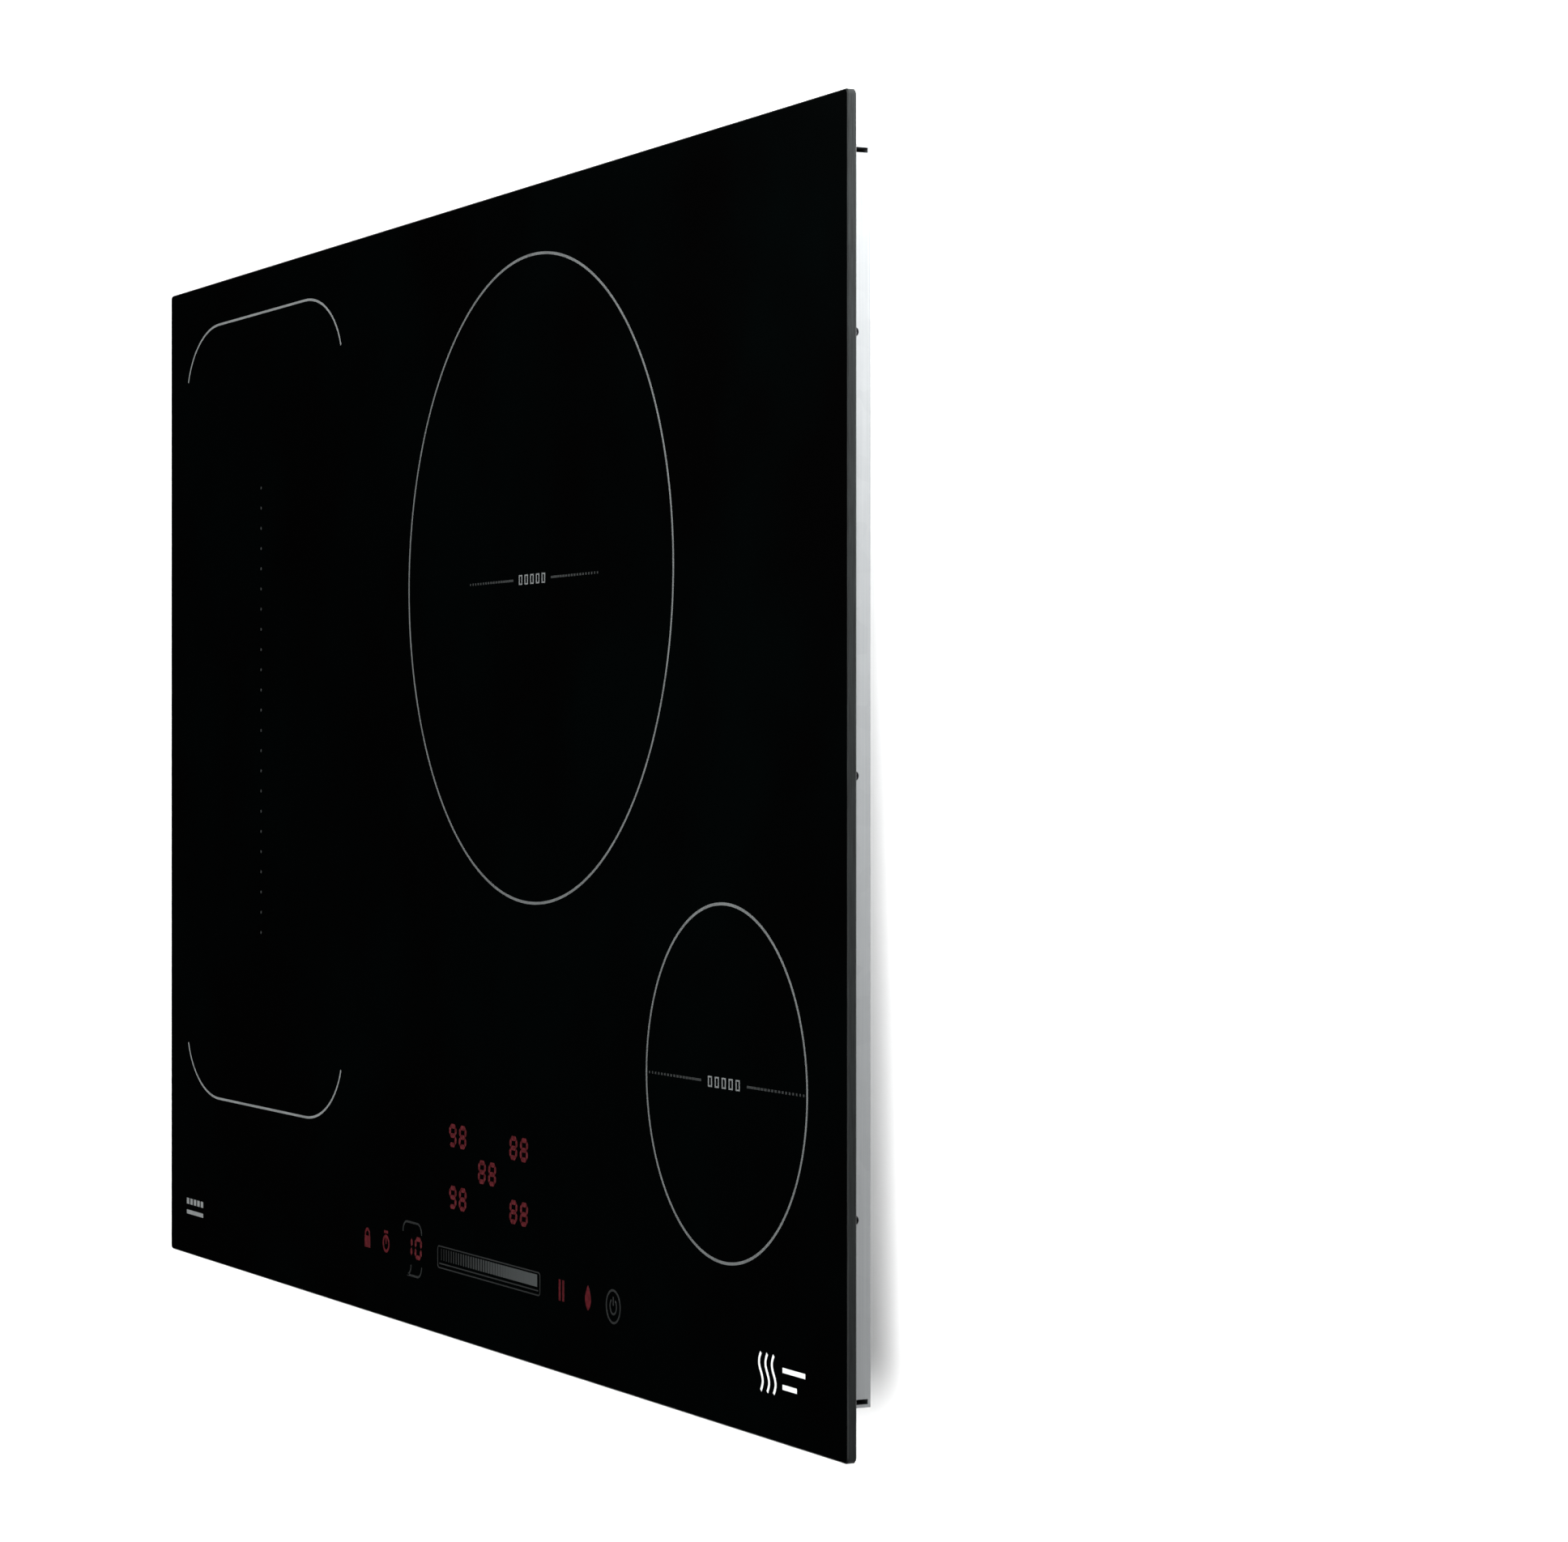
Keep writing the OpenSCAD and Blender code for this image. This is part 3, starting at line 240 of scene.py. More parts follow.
def cellular_foam(name, low, high):
    """Closed-cell rubber foam: dull, with open cells about half a millimetre across on its cut skin, each cell
    darker towards its hollow middle with painted shade.
    """
    made, tree, shader = new_material(name, {"Roughness": 0.9, "Sheen Weight": 0.2})
    cell_pits_and_shade = add_node(tree, "ShaderNodeTexVoronoi", {"Vector": millimetres(tree), "Scale": 1.6}).outputs["Distance"]
    # painted shade: each open cell darkens towards its hollow middle
    tree.links.new(ramp(tree, cell_pits_and_shade, srgb(low), srgb(high), 0.1, 0.7), shader.inputs["Base Color"])
    tree.links.new(bump(tree, cell_pits_and_shade, 0.15, 0.7), shader.inputs["Normal"])
    return made


def mica_sheet():
    """Mica flakes pressed with resin: silvery tan, with overlapping flakes about 5 mm across."""
    made, tree, shader = new_material("mica_sheet", {"IOR": 1.58})
    flakes = add_node(tree, "ShaderNodeTexVoronoi", {"Vector": millimetres(tree), "Scale": 1 / 5}).outputs["Color"]
    shade = add_node(tree, "ShaderNodeSeparateColor", {"Color": flakes}).outputs["Green"]
    tree.links.new(ramp(tree, shade, srgb("#8f7c52"), srgb("#a08d62"), 0.1, 0.9), shader.inputs["Base Color"])
    tree.links.new(spread(tree, shade, 0.3, 0.55), shader.inputs["Roughness"])
    tree.links.new(bump(tree, shade, 0.03, 0.4), shader.inputs["Normal"])
    return made


def litz_wire():
    """Bunched strands of enamelled copper, twisted: a warm metal with slanting strand lines, the grooves between
    the strands darkened with painted shade.
    The map's first axis runs along the wire, counted in millimetres."""
    made, tree, shader = new_material("litz_wire", {"Metallic": 1.0})
    place = add_node(tree, "ShaderNodeUVMap", uv_map="along").outputs["UV"]
    strand_relief_and_shade = add_node(tree, "ShaderNodeTexWave", {"Vector": place, "Scale": 0.22, "Distortion": 0.8},
                       bands_direction="DIAGONAL").outputs["Fac"]
    # painted shade: the colour darkens from the copper's own tone at the strand crowns into the grooves between the
    # strands
    tree.links.new(ramp(tree, strand_relief_and_shade, srgb("#7c3d20"), srgb("#c4764a"), 0.1, 0.9), shader.inputs["Base Color"])
    tree.links.new(spread(tree, strand_relief_and_shade, 0.45, 0.28), shader.inputs["Roughness"])
    tree.links.new(bump(tree, strand_relief_and_shade, 0.15, 0.8), shader.inputs["Normal"])
    return made


def ferrite_block():
    """Pressed and sintered ferrite: dark slate grey with a fine dry grain."""
    made, tree, shader = new_material("ferrite_block", {"IOR": 1.8})
    grain = noise(tree, millimetres(tree), 0.35, 3)
    tree.links.new(ramp(tree, grain, srgb("#3a3b3e"), srgb("#4b4c50")), shader.inputs["Base Color"])
    tree.links.new(spread(tree, grain, 0.55, 0.7), shader.inputs["Roughness"])
    tree.links.new(bump(tree, grain, 0.04, 0.6), shader.inputs["Normal"])
    return made


def solder_resist():
    """Green solder resist over copper tracks on glass-fibre board: the tracks show as paler straight bands."""
    made, tree, shader = new_material("solder_resist", {"IOR": 1.52, "Coat Weight": 0.4})
    tracks = add_node(tree, "ShaderNodeTexBrick", {
        "Vector": millimetres(tree), "Scale": 0.12, "Mortar Size": 0.06, "Color1": srgb("#0a3520"),
        "Color2": srgb("#0d3e26"), "Mortar": srgb("#165b37")})
    fill = noise(tree, millimetres(tree), 1.5, 2)
    tree.links.new(tracks.outputs["Color"], shader.inputs["Base Color"])
    tree.links.new(spread(tree, fill, 0.25, 0.4), shader.inputs["Roughness"])
    tree.links.new(bump(tree, tracks.outputs["Fac"], 0.05, 0.6), shader.inputs["Normal"])
    return made


def extruded_aluminium():
    """Extruded aluminium, left bare: pale metal with die lines along the extrusion."""
    made, tree, shader = new_material("extruded_aluminium", {"Metallic": 1.0})
    lines = noise(tree, millimetres(tree, (2.5, 0.02, 2.5)), 1.0, 3)
    tree.links.new(ramp(tree, lines, srgb("#a9acae"), srgb("#c9cbcc")), shader.inputs["Base Color"])
    tree.links.new(spread(tree, lines, 0.3, 0.45), shader.inputs["Roughness"])
    tree.links.new(bump(tree, lines, 0.03, 0.5), shader.inputs["Normal"])
    return made


def ridged_cable():
    """Flat cable: grey PVC webs with a ridge over each of its conductors, 1.27 mm apart; the webs between the
    ridges are darkened with painted shade.
    """
    made, tree, shader = new_material("ridged_cable", {"IOR": 1.53})
    ridges_and_shade = add_node(tree, "ShaderNodeTexWave", {"Vector": millimetres(tree), "Scale": 0.125}).outputs["Fac"]
    # painted shade: darker grey in the webs between the ridges, the PVC's own grey on the ridges
    tree.links.new(ramp(tree, ridges_and_shade, srgb("#77797c"), srgb("#a4a6a9"), 0.1, 0.9), shader.inputs["Base Color"])
    tree.links.new(spread(tree, ridges_and_shade, 0.4, 0.5), shader.inputs["Roughness"])
    tree.links.new(bump(tree, ridges_and_shade, 0.2, 0.8), shader.inputs["Normal"])
    return made


def pale_floor(colour):
    """Matt seamless studio paper: even and almost white."""
    made, tree, shader = new_material("studio_paper", {"Roughness": 0.9, "Specular IOR Level": 0.2})
    fibre = noise(tree, millimetres(tree), 60, 3)
    tint = tuple(c * 0.985 for c in colour[:3]) + (1.0,)
    tree.links.new(ramp(tree, fibre, tint, (*colour[:3], 1.0)), shader.inputs["Base Color"])
    return made


# ---- surfaces ----

def grid_faces(nu, nv, wrap_u=False, wrap_v=False, start=0):
    """Quads of an nu by nv grid of points, numbered row by row from start, joined at its ends if it wraps."""
    u = np.arange(nu if wrap_u else nu - 1)
    v = np.arange(nv if wrap_v else nv - 1)
    uu, vv = np.meshgrid(u, v, indexing="ij")
    u1, v1 = (uu + 1) % nu, (vv + 1) % nv
    quads = np.stack([uu * nv + vv, u1 * nv + vv, u1 * nv + v1, uu * nv + v1], -1)
    return quads.reshape(-1, 4) + start


def make_object(name, parts, material, smooth=False):
    """One mesh object from a list of (points, faces) parts, with outward faces."""
    points, faces, first = [], [], 0
    for pts, polygons in parts:
        pts = np.asarray(pts, float).reshape(-1, 3)
        points.append(pts)
        faces.extend([[int(i) + first for i in polygon] for polygon in polygons])
        first += len(pts)
    mesh = bpy.data.meshes.new(name)
    mesh.from_pydata(np.concatenate(points).tolist(), [], faces)
    made = bpy.data.objects.new(name, mesh)
    bpy.context.scene.collection.objects.link(made)
    work = bmesh.new()
    work.from_mesh(mesh)
    bmesh.ops.recalc_face_normals(work, faces=work.faces)
    work.to_mesh(mesh)
    work.free()
    mesh.polygons.foreach_set("use_smooth", np.full(len(mesh.polygons), smooth))
    mesh.materials.append(material)
    return made


def make_piece(name, parts, material, body=HOB, smooth=False):
    """A piece of the object: it rides on a body and fills one of the material slots."""
    made = make_object(name, parts, material, smooth)
    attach(made, body)
    return made


def rounded_rectangle(w, d, r, arc=8):
    """Outline of a w by d rectangle: four quarter circles of radius r, with arc + 1 points each."""
    turn = np.linspace(0, math.pi / 2, arc + 1)
    quarter = np.stack([np.cos(turn), np.sin(turn)], 1) * r
    corners = [(w / 2 - r, d / 2 - r), (r - w / 2, d / 2 - r), (r - w / 2, r - d / 2), (w / 2 - r, r - d / 2)]
    spins = [np.array([[c, s], [-s, c]]) for c, s in ((1, 0), (0, 1), (-1, 0), (0, -1))]
    return np.concatenate([quarter @ spin + corner for spin, corner in zip(spins, corners)])


def ribbon(path, width, low, high, closed=False):
    """A flat band: at each point of a plan path p(s) its edges are p(s) +- n(s) width/2, with n the
    path's normal, between the heights low and high. An open band is closed at its ends."""
    path = np.asarray(path, float)
    if closed:
        ahead = np.roll(path, -1, 0) - np.roll(path, 1, 0)
    else:
        ahead = np.gradient(path, axis=0)
    ahead /= np.linalg.norm(ahead, axis=1, keepdims=True)
    side = np.stack([-ahead[:, 1], ahead[:, 0]], 1) * np.reshape(width, (-1, 1)) / 2
    left, right = path + side, path - side
    n = len(path)
    rings = np.empty((n, 4, 3))
    rings[:, 0, :2], rings[:, 1, :2] = left, left
    rings[:, 2, :2], rings[:, 3, :2] = right, right
    rings[:, [0, 3], 2], rings[:, [1, 2], 2] = low, high
    faces = grid_faces(n, 4, closed, True).tolist()
    if not closed:
        faces += [[0, 1, 2, 3], [4 * n - 1, 4 * n - 2, 4 * n - 3, 4 * n - 4]]
    return rings, faces


def plate(outline, low, high):
    """A flat solid on a plan outline."""
    outline = np.asarray(outline, float)
    n = len(outline)
    points = np.empty((2, n, 3))
    points[:, :, :2] = outline
    points[0, :, 2], points[1, :, 2] = low, high
    faces = grid_faces(2, n, False, True).tolist()
    return points, faces + [list(range(n)), list(range(2 * n - 1, n - 1, -1))]


def tube(path, radius, up, sides=8):
    """A round wire: the circle p(s) + r (cos a n(s) + sin a b(s)), with n = t x up, b = n x t and t the
    path's direction. Its ends are closed."""
    path = np.asarray(path, float)
    ahead = np.gradient(path, axis=0)
    ahead /= np.linalg.norm(ahead, axis=1, keepdims=True)
    n = np.cross(ahead, up)
    n /= np.linalg.norm(n, axis=1, keepdims=True)
    b = np.cross(n, ahead)
    a = np.linspace(0, 2 * math.pi, sides, endpoint=False)
    ring = path[:, None] + radius * (n[:, None] * np.cos(a)[:, None] + b[:, None] * np.sin(a)[:, None])
    count = len(path)
    caps = [list(range(sides)), list(range(count * sides - 1, (count - 1) * sides - 1, -1))]
    return ring, grid_faces(count, sides, False, True).tolist() + caps


def revolve(profile, at, axis, sides=32):
    """A turned part: each profile point (r, h) goes round the axis as at + h axis + r (cos a e + sin a f).
    The first and last points of the profile lie on the axis and are merged to one point each."""
    axis = Vector(axis).normalized()
    e = axis.orthogonal().normalized()
    f = axis.cross(e)
    a = np.linspace(0, 2 * math.pi, sides, endpoint=False)
    circle = np.cos(a)[:, None] * np.array(e) + np.sin(a)[:, None] * np.array(f)
    r, h = np.asarray(profile, float).T
    rings = np.array(at) + h[:, None, None] * np.array(axis) + r[:, None, None] * circle[None]
    middle = rings[1:-1].reshape(-1, 3)
    ends = [np.array(at) + h[0] * np.array(axis), np.array(at) + h[-1] * np.array(axis)]
    points = np.concatenate([middle, ends])
    count = len(profile) - 2
    faces = grid_faces(count, sides, False, True).tolist()
    low, high = count * sides, count * sides + 1
    last = (count - 1) * sides
    faces += [[low, k, (k + 1) % sides] for k in range(sides)]
    faces += [[high, last + (k + 1) % sides, last + k] for k in range(sides)]
    return points, faces


def arc_path(centre, radius, first, last, count):
    """Plan points on a circle, from one angle in degrees to another."""
    a = np.radians(np.linspace(first, last, count))
    return np.stack([centre[0] + radius * np.cos(a), centre[1] + radius * np.sin(a)], 1)


def line_path(start, end, count=2):
    return np.linspace(start, end, count)


def middle_of(*names):
    """Plan place of the middle of the box round the named CAD nodes."""
    boxes = np.array([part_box(name) for name in names])
    return (boxes[:, 0].min(0) + boxes[:, 1].max(0))[:2] / 2


def at_controls(x_mm, y_mm):
    """Plan place x from the middle of the control module and y from the front edge of the glass."""
    return np.array([middle_of("ui_carrier")[0] + x_mm * MM, GLASS_LOW[1] + y_mm * MM])


def dress(names, material):
    """Gives a material to every slot of the named CAD nodes."""
    for name in names:
        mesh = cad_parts[name].data
        if not mesh.materials:
            mesh.materials.append(material)
        for k in range(len(mesh.materials)):
            mesh.materials[k] = material


def softened(node, width, material):
    """A copy of a CAD node, merged and with its sharp edges broken, that stands for the node."""
    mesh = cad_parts[node].data.copy()
    mesh.name = node + "_finished"
    work = bmesh.new()
    work.from_mesh(mesh)
    bmesh.ops.remove_doubles(work, verts=work.verts, dist=0.01 * MM)
    bmesh.ops.dissolve_limit(work, angle_limit=math.radians(0.5), verts=work.verts, edges=work.edges)
    bmesh.ops.recalc_face_normals(work, faces=work.faces)
    work.to_mesh(mesh)
    work.free()
    mesh.polygons.foreach_set("use_smooth", np.zeros(len(mesh.polygons), bool))
    made = bpy.data.objects.new(node + "_finished", mesh)
    bpy.context.scene.collection.objects.link(made)
    mesh.materials.clear()
    mesh.materials.append(material)
    edge = made.modifiers.new("broken_edges", "BEVEL")
    edge.width = width
    edge.segments = 2
    edge.limit_method = "ANGLE"
    edge.angle_limit = math.radians(50)
    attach(made, HOB)
    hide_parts(node)
    return made


# ---- settings ----

class CooktopGlass(bpy.types.PropertyGroup):
    corner: FloatProperty(name="Corner radius", description="Radius of the panel's corners in plan",
                          default=2.5 * MM, min=0.0005, max=0.01, unit="LENGTH")
    arris: FloatProperty(name="Arris", description="Width of the ground arris along the top and bottom edges",
                         default=0.5 * MM, min=0.0001, max=0.0015, unit="LENGTH")


class CooktopDecor(bpy.types.PropertyGroup):
    line: FloatProperty(name="Line width", description="Width of the printed zone lines",
                        default=1.2 * MM, min=0.0005, max=0.004, unit="LENGTH")
    proud: FloatProperty(name="Print height", description="Height of the print above the glass",
                         default=0.03 * MM, min=0.00001, max=0.0002, unit="LENGTH")
    large_ring: FloatProperty(name="Large ring", description="Diameter of the large zone's ring",
                              default=286 * MM, min=0.1, max=0.3, unit="LENGTH")
    small_ring: FloatProperty(name="Small ring", description="Diameter of the small zone's ring",
                              default=143.6 * MM, min=0.1, max=0.2, unit="LENGTH")
    dots: IntProperty(name="Dots", description="Dots on the middle line of the flexible zone",
                      default=23, min=5, max=60)
    glow: FloatProperty(name="Display glow", description="Strength of the lit digits and icons",
                        default=1.0, min=0.0, max=10.0)


class CooktopMetal(bpy.types.PropertyGroup):
    edge: FloatProperty(name="Broken edge", description="Width of the broken edges of housing and rails",
                        default=0.35 * MM, min=0.0001, max=0.001, unit="LENGTH")
    head: FloatProperty(name="Screw head", description="Radius of the rail screws' pan heads",
                        default=2.0 * MM, min=0.001, max=0.004, unit="LENGTH")


class CooktopCoils(bpy.types.PropertyGroup):
    pitch: FloatProperty(name="Turn pitch", description="Distance between two turns of a winding",
                         default=4.0 * MM, min=0.003, max=0.008, unit="LENGTH")
    spring_turns: IntProperty(name="Spring turns", description="Turns of each carrier spring",
                              default=5, min=3, max=9)


class CooktopStage(bpy.types.PropertyGroup):
    floor: FloatVectorProperty(name="Floor", description="Colour of the studio floor", subtype="COLOR",
                               size=4, default=srgb("#f4f4f4"), min=0.0, max=1.0)
    lens: FloatProperty(name="Lens", description="Focal length of the camera in millimetres",
                        default=94.1, min=20.0, max=300.0)
    sun: FloatProperty(name="Key light", description="Strength of the broad light from the right",
                       default=5.2, min=0.0, max=20.0)
    fill: FloatProperty(name="Fill light", description="Strength of the weak broad light from the left rear",
                        default=1.4, min=0.0, max=20.0)
    side: FloatProperty(name="Side light", description="Strength of the soft light by the right rear corner",
                        default=24.0, min=0.0, max=100.0)


# ---- operators ----

class COOKTOP_OT_stage(bpy.types.Operator):
    """Floor, soft studio lights and the camera"""
    bl_idname = "cooktop.stage"
    bl_label = "Stage"

    SOFTBOX = Vector((-0.62, 0.62, 0.48)).normalized()

    def add_light(self, name, kind, place, towards, energy, **settings):
        data = bpy.data.lights.new(name, kind)
        data.energy = energy
        for key, value in settings.items():
            setattr(data, key, value)
        made = bpy.data.objects.new(name, data)
        made.location = place
        made.rotation_euler = (Vector(towards) - Vector(place)).to_track_quat("-Z", "Y").to_euler()
        bpy.context.scene.collection.objects.link(made)

    def add_camera(self, lens):
        data = bpy.data.cameras.new("camera")
        data.lens = lens
        data.sensor_width = 36
        data.shift_y = -0.0045
        data.clip_end = 100
        made = bpy.data.objects.new("camera", data)
        bpy.context.scene.collection.objects.link(made)
        ahead = Vector((-0.8879, 0, -0.46)).normalized()
        up = Vector((0, 1, 0))
        side = ahead.cross(up)
        turn = Matrix((side, up, -ahead)).transposed()
        place = Vector((GLASS_HIGH[0] + 1.362, 0.0046, TOP + 0.7327))
        made.matrix_world = Matrix.Translation(place) @ turn.to_4x4()
        bpy.context.scene.camera = made

    def execute(self, context):
        wishes = context.scene.cooktop_stage
        self.add_camera(wishes.lens)
        size = 14
        edge = line_path((-size, 0), (size, 0))
        make_object("floor", [ribbon(edge, 2 * size, -0.02, 0.0)], pale_floor(wishes.floor))
        self.add_light("key", "SUN", (0.72, -0.1, 0.66), (0, 0, 0), wishes.sun, angle=math.radians(26))
        self.add_light("fill", "SUN", (-0.3, 0.5, 0.81), (0, 0, 0), wishes.fill, angle=math.radians(40))
        self.add_light("side", "AREA", (0.72, 0.5, 0.2), (0.37, 0.2, 0.04), wishes.side, shape="DISK", size=0.3)
        world = bpy.data.worlds.new("studio")
        world.use_nodes = True
        tree = world.node_tree
        place = add_node(tree, "ShaderNodeTexCoord").outputs["Generated"]
        height = add_node(tree, "ShaderNodeSeparateXYZ", {"Vector": place}).outputs["Z"]
        horizon = ramp(tree, height, srgb("#e6e6e6"), srgb("#040404"), 0.05, 0.16)
        towards = add_node(tree, "ShaderNodeVectorMath", {0: place, 1: self.SOFTBOX}, operation="DOT_PRODUCT")
        softbox = ramp(tree, towards.outputs["Value"], srgb("#000000"), srgb("#505254"), 0.86, 0.97)
        sky = add_node(tree, "ShaderNodeVectorMath", {0: horizon, 1: softbox}, operation="ADD").outputs[0]
        seen = add_node(tree, "ShaderNodeLightPath").outputs["Is Camera Ray"]
        backdrop = add_node(tree, "ShaderNodeMix", {"Factor": seen, 6: sky, 7: srgb("#ffffff")}, data_type="RGBA")
        tree.links.new(backdrop.outputs[2], tree.nodes["Background"].inputs["Color"])
        context.scene.world = world
        context.scene.view_settings.view_transform = "Standard"
        return {"FINISHED"}


class COOKTOP_OT_glass(bpy.types.Operator):
    """Glass panel: the rounded outline carried up a profile with a ground arris at the top and bottom"""
    bl_idname = "cooktop.glass"
    bl_label = "Glass panel"

    def execute(self, context):
        wishes = context.scene.cooktop_glass
        w = GLASS_HIGH[0] - GLASS_LOW[0]
        d = GLASS_HIGH[1] - GLASS_LOW[1]
        low = GLASS_LOW[2]
        a = wishes.arris
        profile = [(a, low), (0, low + a), (0, TOP - a), (a, TOP)]
        outlines = [rounded_rectangle(w - 2 * i, d - 2 * i, wishes.corner - i) for i, _ in profile]
        n = len(outlines[0])
        rings = np.empty((4, n, 3))
        rings[:, :, :2] = outlines
        rings[:, :, 2] = np.array([z for _, z in profile])[:, None]
        faces = grid_faces(4, n, False, True).tolist()
        faces += [list(range(n)), list(range(4 * n - 1, 3 * n - 1, -1))]
        made = make_piece("glass_ceramic_panel", [(rings, faces)], polished_glass_ceramic())
        made.data.materials.append(ground_glass_edge())
        normals = np.empty(len(made.data.polygons) * 3)
        made.data.polygons.foreach_get("normal", normals)
        flat = np.abs(normals.reshape(-1, 3)[:, 2]) < 0.9
        made.data.polygons.foreach_set("material_index", flat.astype(np.int32))
        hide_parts("glass_panel")
        return {"FINISHED"}


class COOKTOP_OT_zones(bpy.types.Operator):
    """Zone lines: two rings, the brackets of the flexible zone and its dotted middle line"""
    bl_idname = "cooktop.zones"
    bl_label = "Zone lines"

    # The flexible zone's brackets: half its straight part, the corner's semi-axes and how far it turns
    STRAIGHT = 64.0
    CORNER = (51.0, 37.0)
    TURN = 74.0
    HALF_DEPTH = 204.9
    DOTS_REACH = 114.6

    def bracket(self, centre, s):
        """A straight line with an elliptic corner at each end: (a sin t, b - b cos t), mirrored."""
        t = np.radians(np.linspace(self.TURN, 0, 14))
        corner = np.stack([-self.STRAIGHT - self.CORNER[0] * np.sin(t), self.CORNER[1] * (np.cos(t) - 1)], 1)
        line = np.linspace((-self.STRAIGHT, 0), (self.STRAIGHT, 0), 12)[1:-1]
        path = np.concatenate([corner, line, corner[::-1] * (-1, 1)])
        return centre + MM * (path * (1, s) + (0, s * self.HALF_DEPTH))

    def execute(self, context):
        wishes = context.scene.cooktop_decor
        low, high = TOP - wishes.proud, TOP + wishes.proud
        light = screen_print("ring_enamel", "#3f4141", "#5a5d5d")
        rings = [ribbon(arc_path(middle_of(f"coil_{name}_mica"), d / 2, 0, 360, 193)[:-1],
                        wishes.line, low, high, True)
                 for name, d in (("large", wishes.large_ring), ("small", wishes.small_ring))]
        make_piece("zone_rings", rings, light)
        centre = middle_of("coil_flex_rear_mica", "coil_flex_front_mica")
        ends = [ribbon(self.bracket(centre, s), wishes.line, low, high) for s in (1, -1)]
        make_piece("flex_zone_brackets", ends, screen_print("bracket_enamel", "#545757", "#777a7a"))
        dots = [plate(arc_path(centre + (0, y * MM), 0.8 * MM, 0, 330, 12), low, high)
                for y in np.linspace(-self.DOTS_REACH, self.DOTS_REACH, wishes.dots)]
        make_piece("flex_zone_dots", dots, screen_print("dim_enamel", "#1d1f1f", "#2a2c2c"))
        return {"FINISHED"}


class COOKTOP_OT_centre_marks(bpy.types.Operator):
    """Centre marks of the two ringed zones: five small boxes between two lines that break up outwards"""
    bl_idname = "cooktop.centre_marks"
    bl_label = "Centre marks"

    BOXES = 5
    BOX_PITCH = 6.2
    NEAR, FAR = 20.5, 70.0
    DASH_PITCH = 3.0

    def dashes(self, centre, low, high):
        """Dashes that shrink from a closed line near the mark to short dots at its far end."""
        steps = np.arange(self.NEAR, self.FAR, self.DASH_PITCH)
        lengths = np.interp(steps, [self.NEAR, self.NEAR + 18, self.FAR], [2.8, 1.9, 0.8])
        return [ribbon(centre + MM * s * np.array([[start, 0], [start + length, 0]]), 1.0 * MM, low, high)
                for s in (-1, 1) for start, length in zip(steps, lengths)]

    def execute(self, context):
        wishes = context.scene.cooktop_decor
        low, high = TOP - wishes.proud, TOP + wishes.proud
        boxes, lines = [], []
        outline = np.array([[-1.4, -1.9], [1.4, -1.9], [1.4, 1.9], [-1.4, 1.9]])
        for name in ("large", "small"):
            centre = middle_of(f"coil_{name}_mica")
            for k in range(self.BOXES):
                shift = ((k - (self.BOXES - 1) / 2) * self.BOX_PITCH, 0)
                boxes.append(ribbon(centre + MM * (outline + shift), 1.0 * MM, low, high, True))
            lines += self.dashes(centre, low, high)
        make_piece("centre_boxes", boxes, screen_print("mark_enamel", "#474949", "#666969"))
        make_piece("centre_lines", lines, screen_print("soft_enamel", "#1a1c1c", "#272929"))
        return {"FINISHED"}


class COOKTOP_OT_digits(bpy.types.Operator):
    """Seven-segment digits, two to a display, lit dim red"""
    bl_idname = "cooktop.digits"
    bl_label = "Displays"

    # Places of the displays and what each shows, from the module's middle and the front edge of the glass
    SHOWN = {(-31, 93.5): "98", (38.5, 93.5): "88", (3, 79.6): "88", (-31, 65): "98", (38.5, 65): "88",
             (-84.4, 37): "10"}
    LIT = {"0": "abcdef", "1": "bc", "8": "abcdefg", "9": "abcdfg"}
    WIDE, HIGH = 6.6, 8.6
    STROKE = 2.1
    PITCH = 11.6
    LEAN = 0.06

    def segment(self, start, end):
        """A bar with pointed ends: a hexagon from start to end."""
        ahead = (end - start) / np.linalg.norm(end - start)
        side = np.array([-ahead[1], ahead[0]]) * self.STROKE / 2
        tip = ahead * self.STROKE / 2
        return np.array([start, start + tip + side, end - tip + side, end, end - tip - side, start + tip - side])

    def digit(self, figure, centre):
        """The lit segments of one figure, leaning a little to the right."""
        x, y = self.WIDE / 2, self.HIGH / 2
        ends = {"a": ((-x, y), (x, y)), "b": ((x, y), (x, 0)), "c": ((x, 0), (x, -y)), "d": ((-x, -y), (x, -y)),
                "e": ((-x, 0), (-x, -y)), "f": ((-x, y), (-x, 0)), "g": ((-x, 0), (x, 0))}
        shapes = []
        for letter in self.LIT[figure]:
            start, end = np.array(ends[letter], float)
            gap = (end - start) * 0.05
            hexagon = self.segment(start + gap, end - gap)
            hexagon[:, 0] += hexagon[:, 1] * self.LEAN
            shapes.append(hexagon * MM + centre)
        return shapes

    def execute(self, context):
        wishes = context.scene.cooktop_decor
        low, high = TOP - wishes.proud, TOP + wishes.proud
        lit = led_segment("zone_digits", "#350307", "#62242a", wishes.glow)
        parts = []
        for (x, y), figures in self.SHOWN.items():
            for figure, s in zip(figures, (-1, 1)):
                centre = at_controls(x + s * self.PITCH / 2, y)
                parts += [plate(shape, low, high) for shape in self.digit(figure, centre)]
        make_piece("lit_digits", parts, lit)
        return {"FINISHED"}


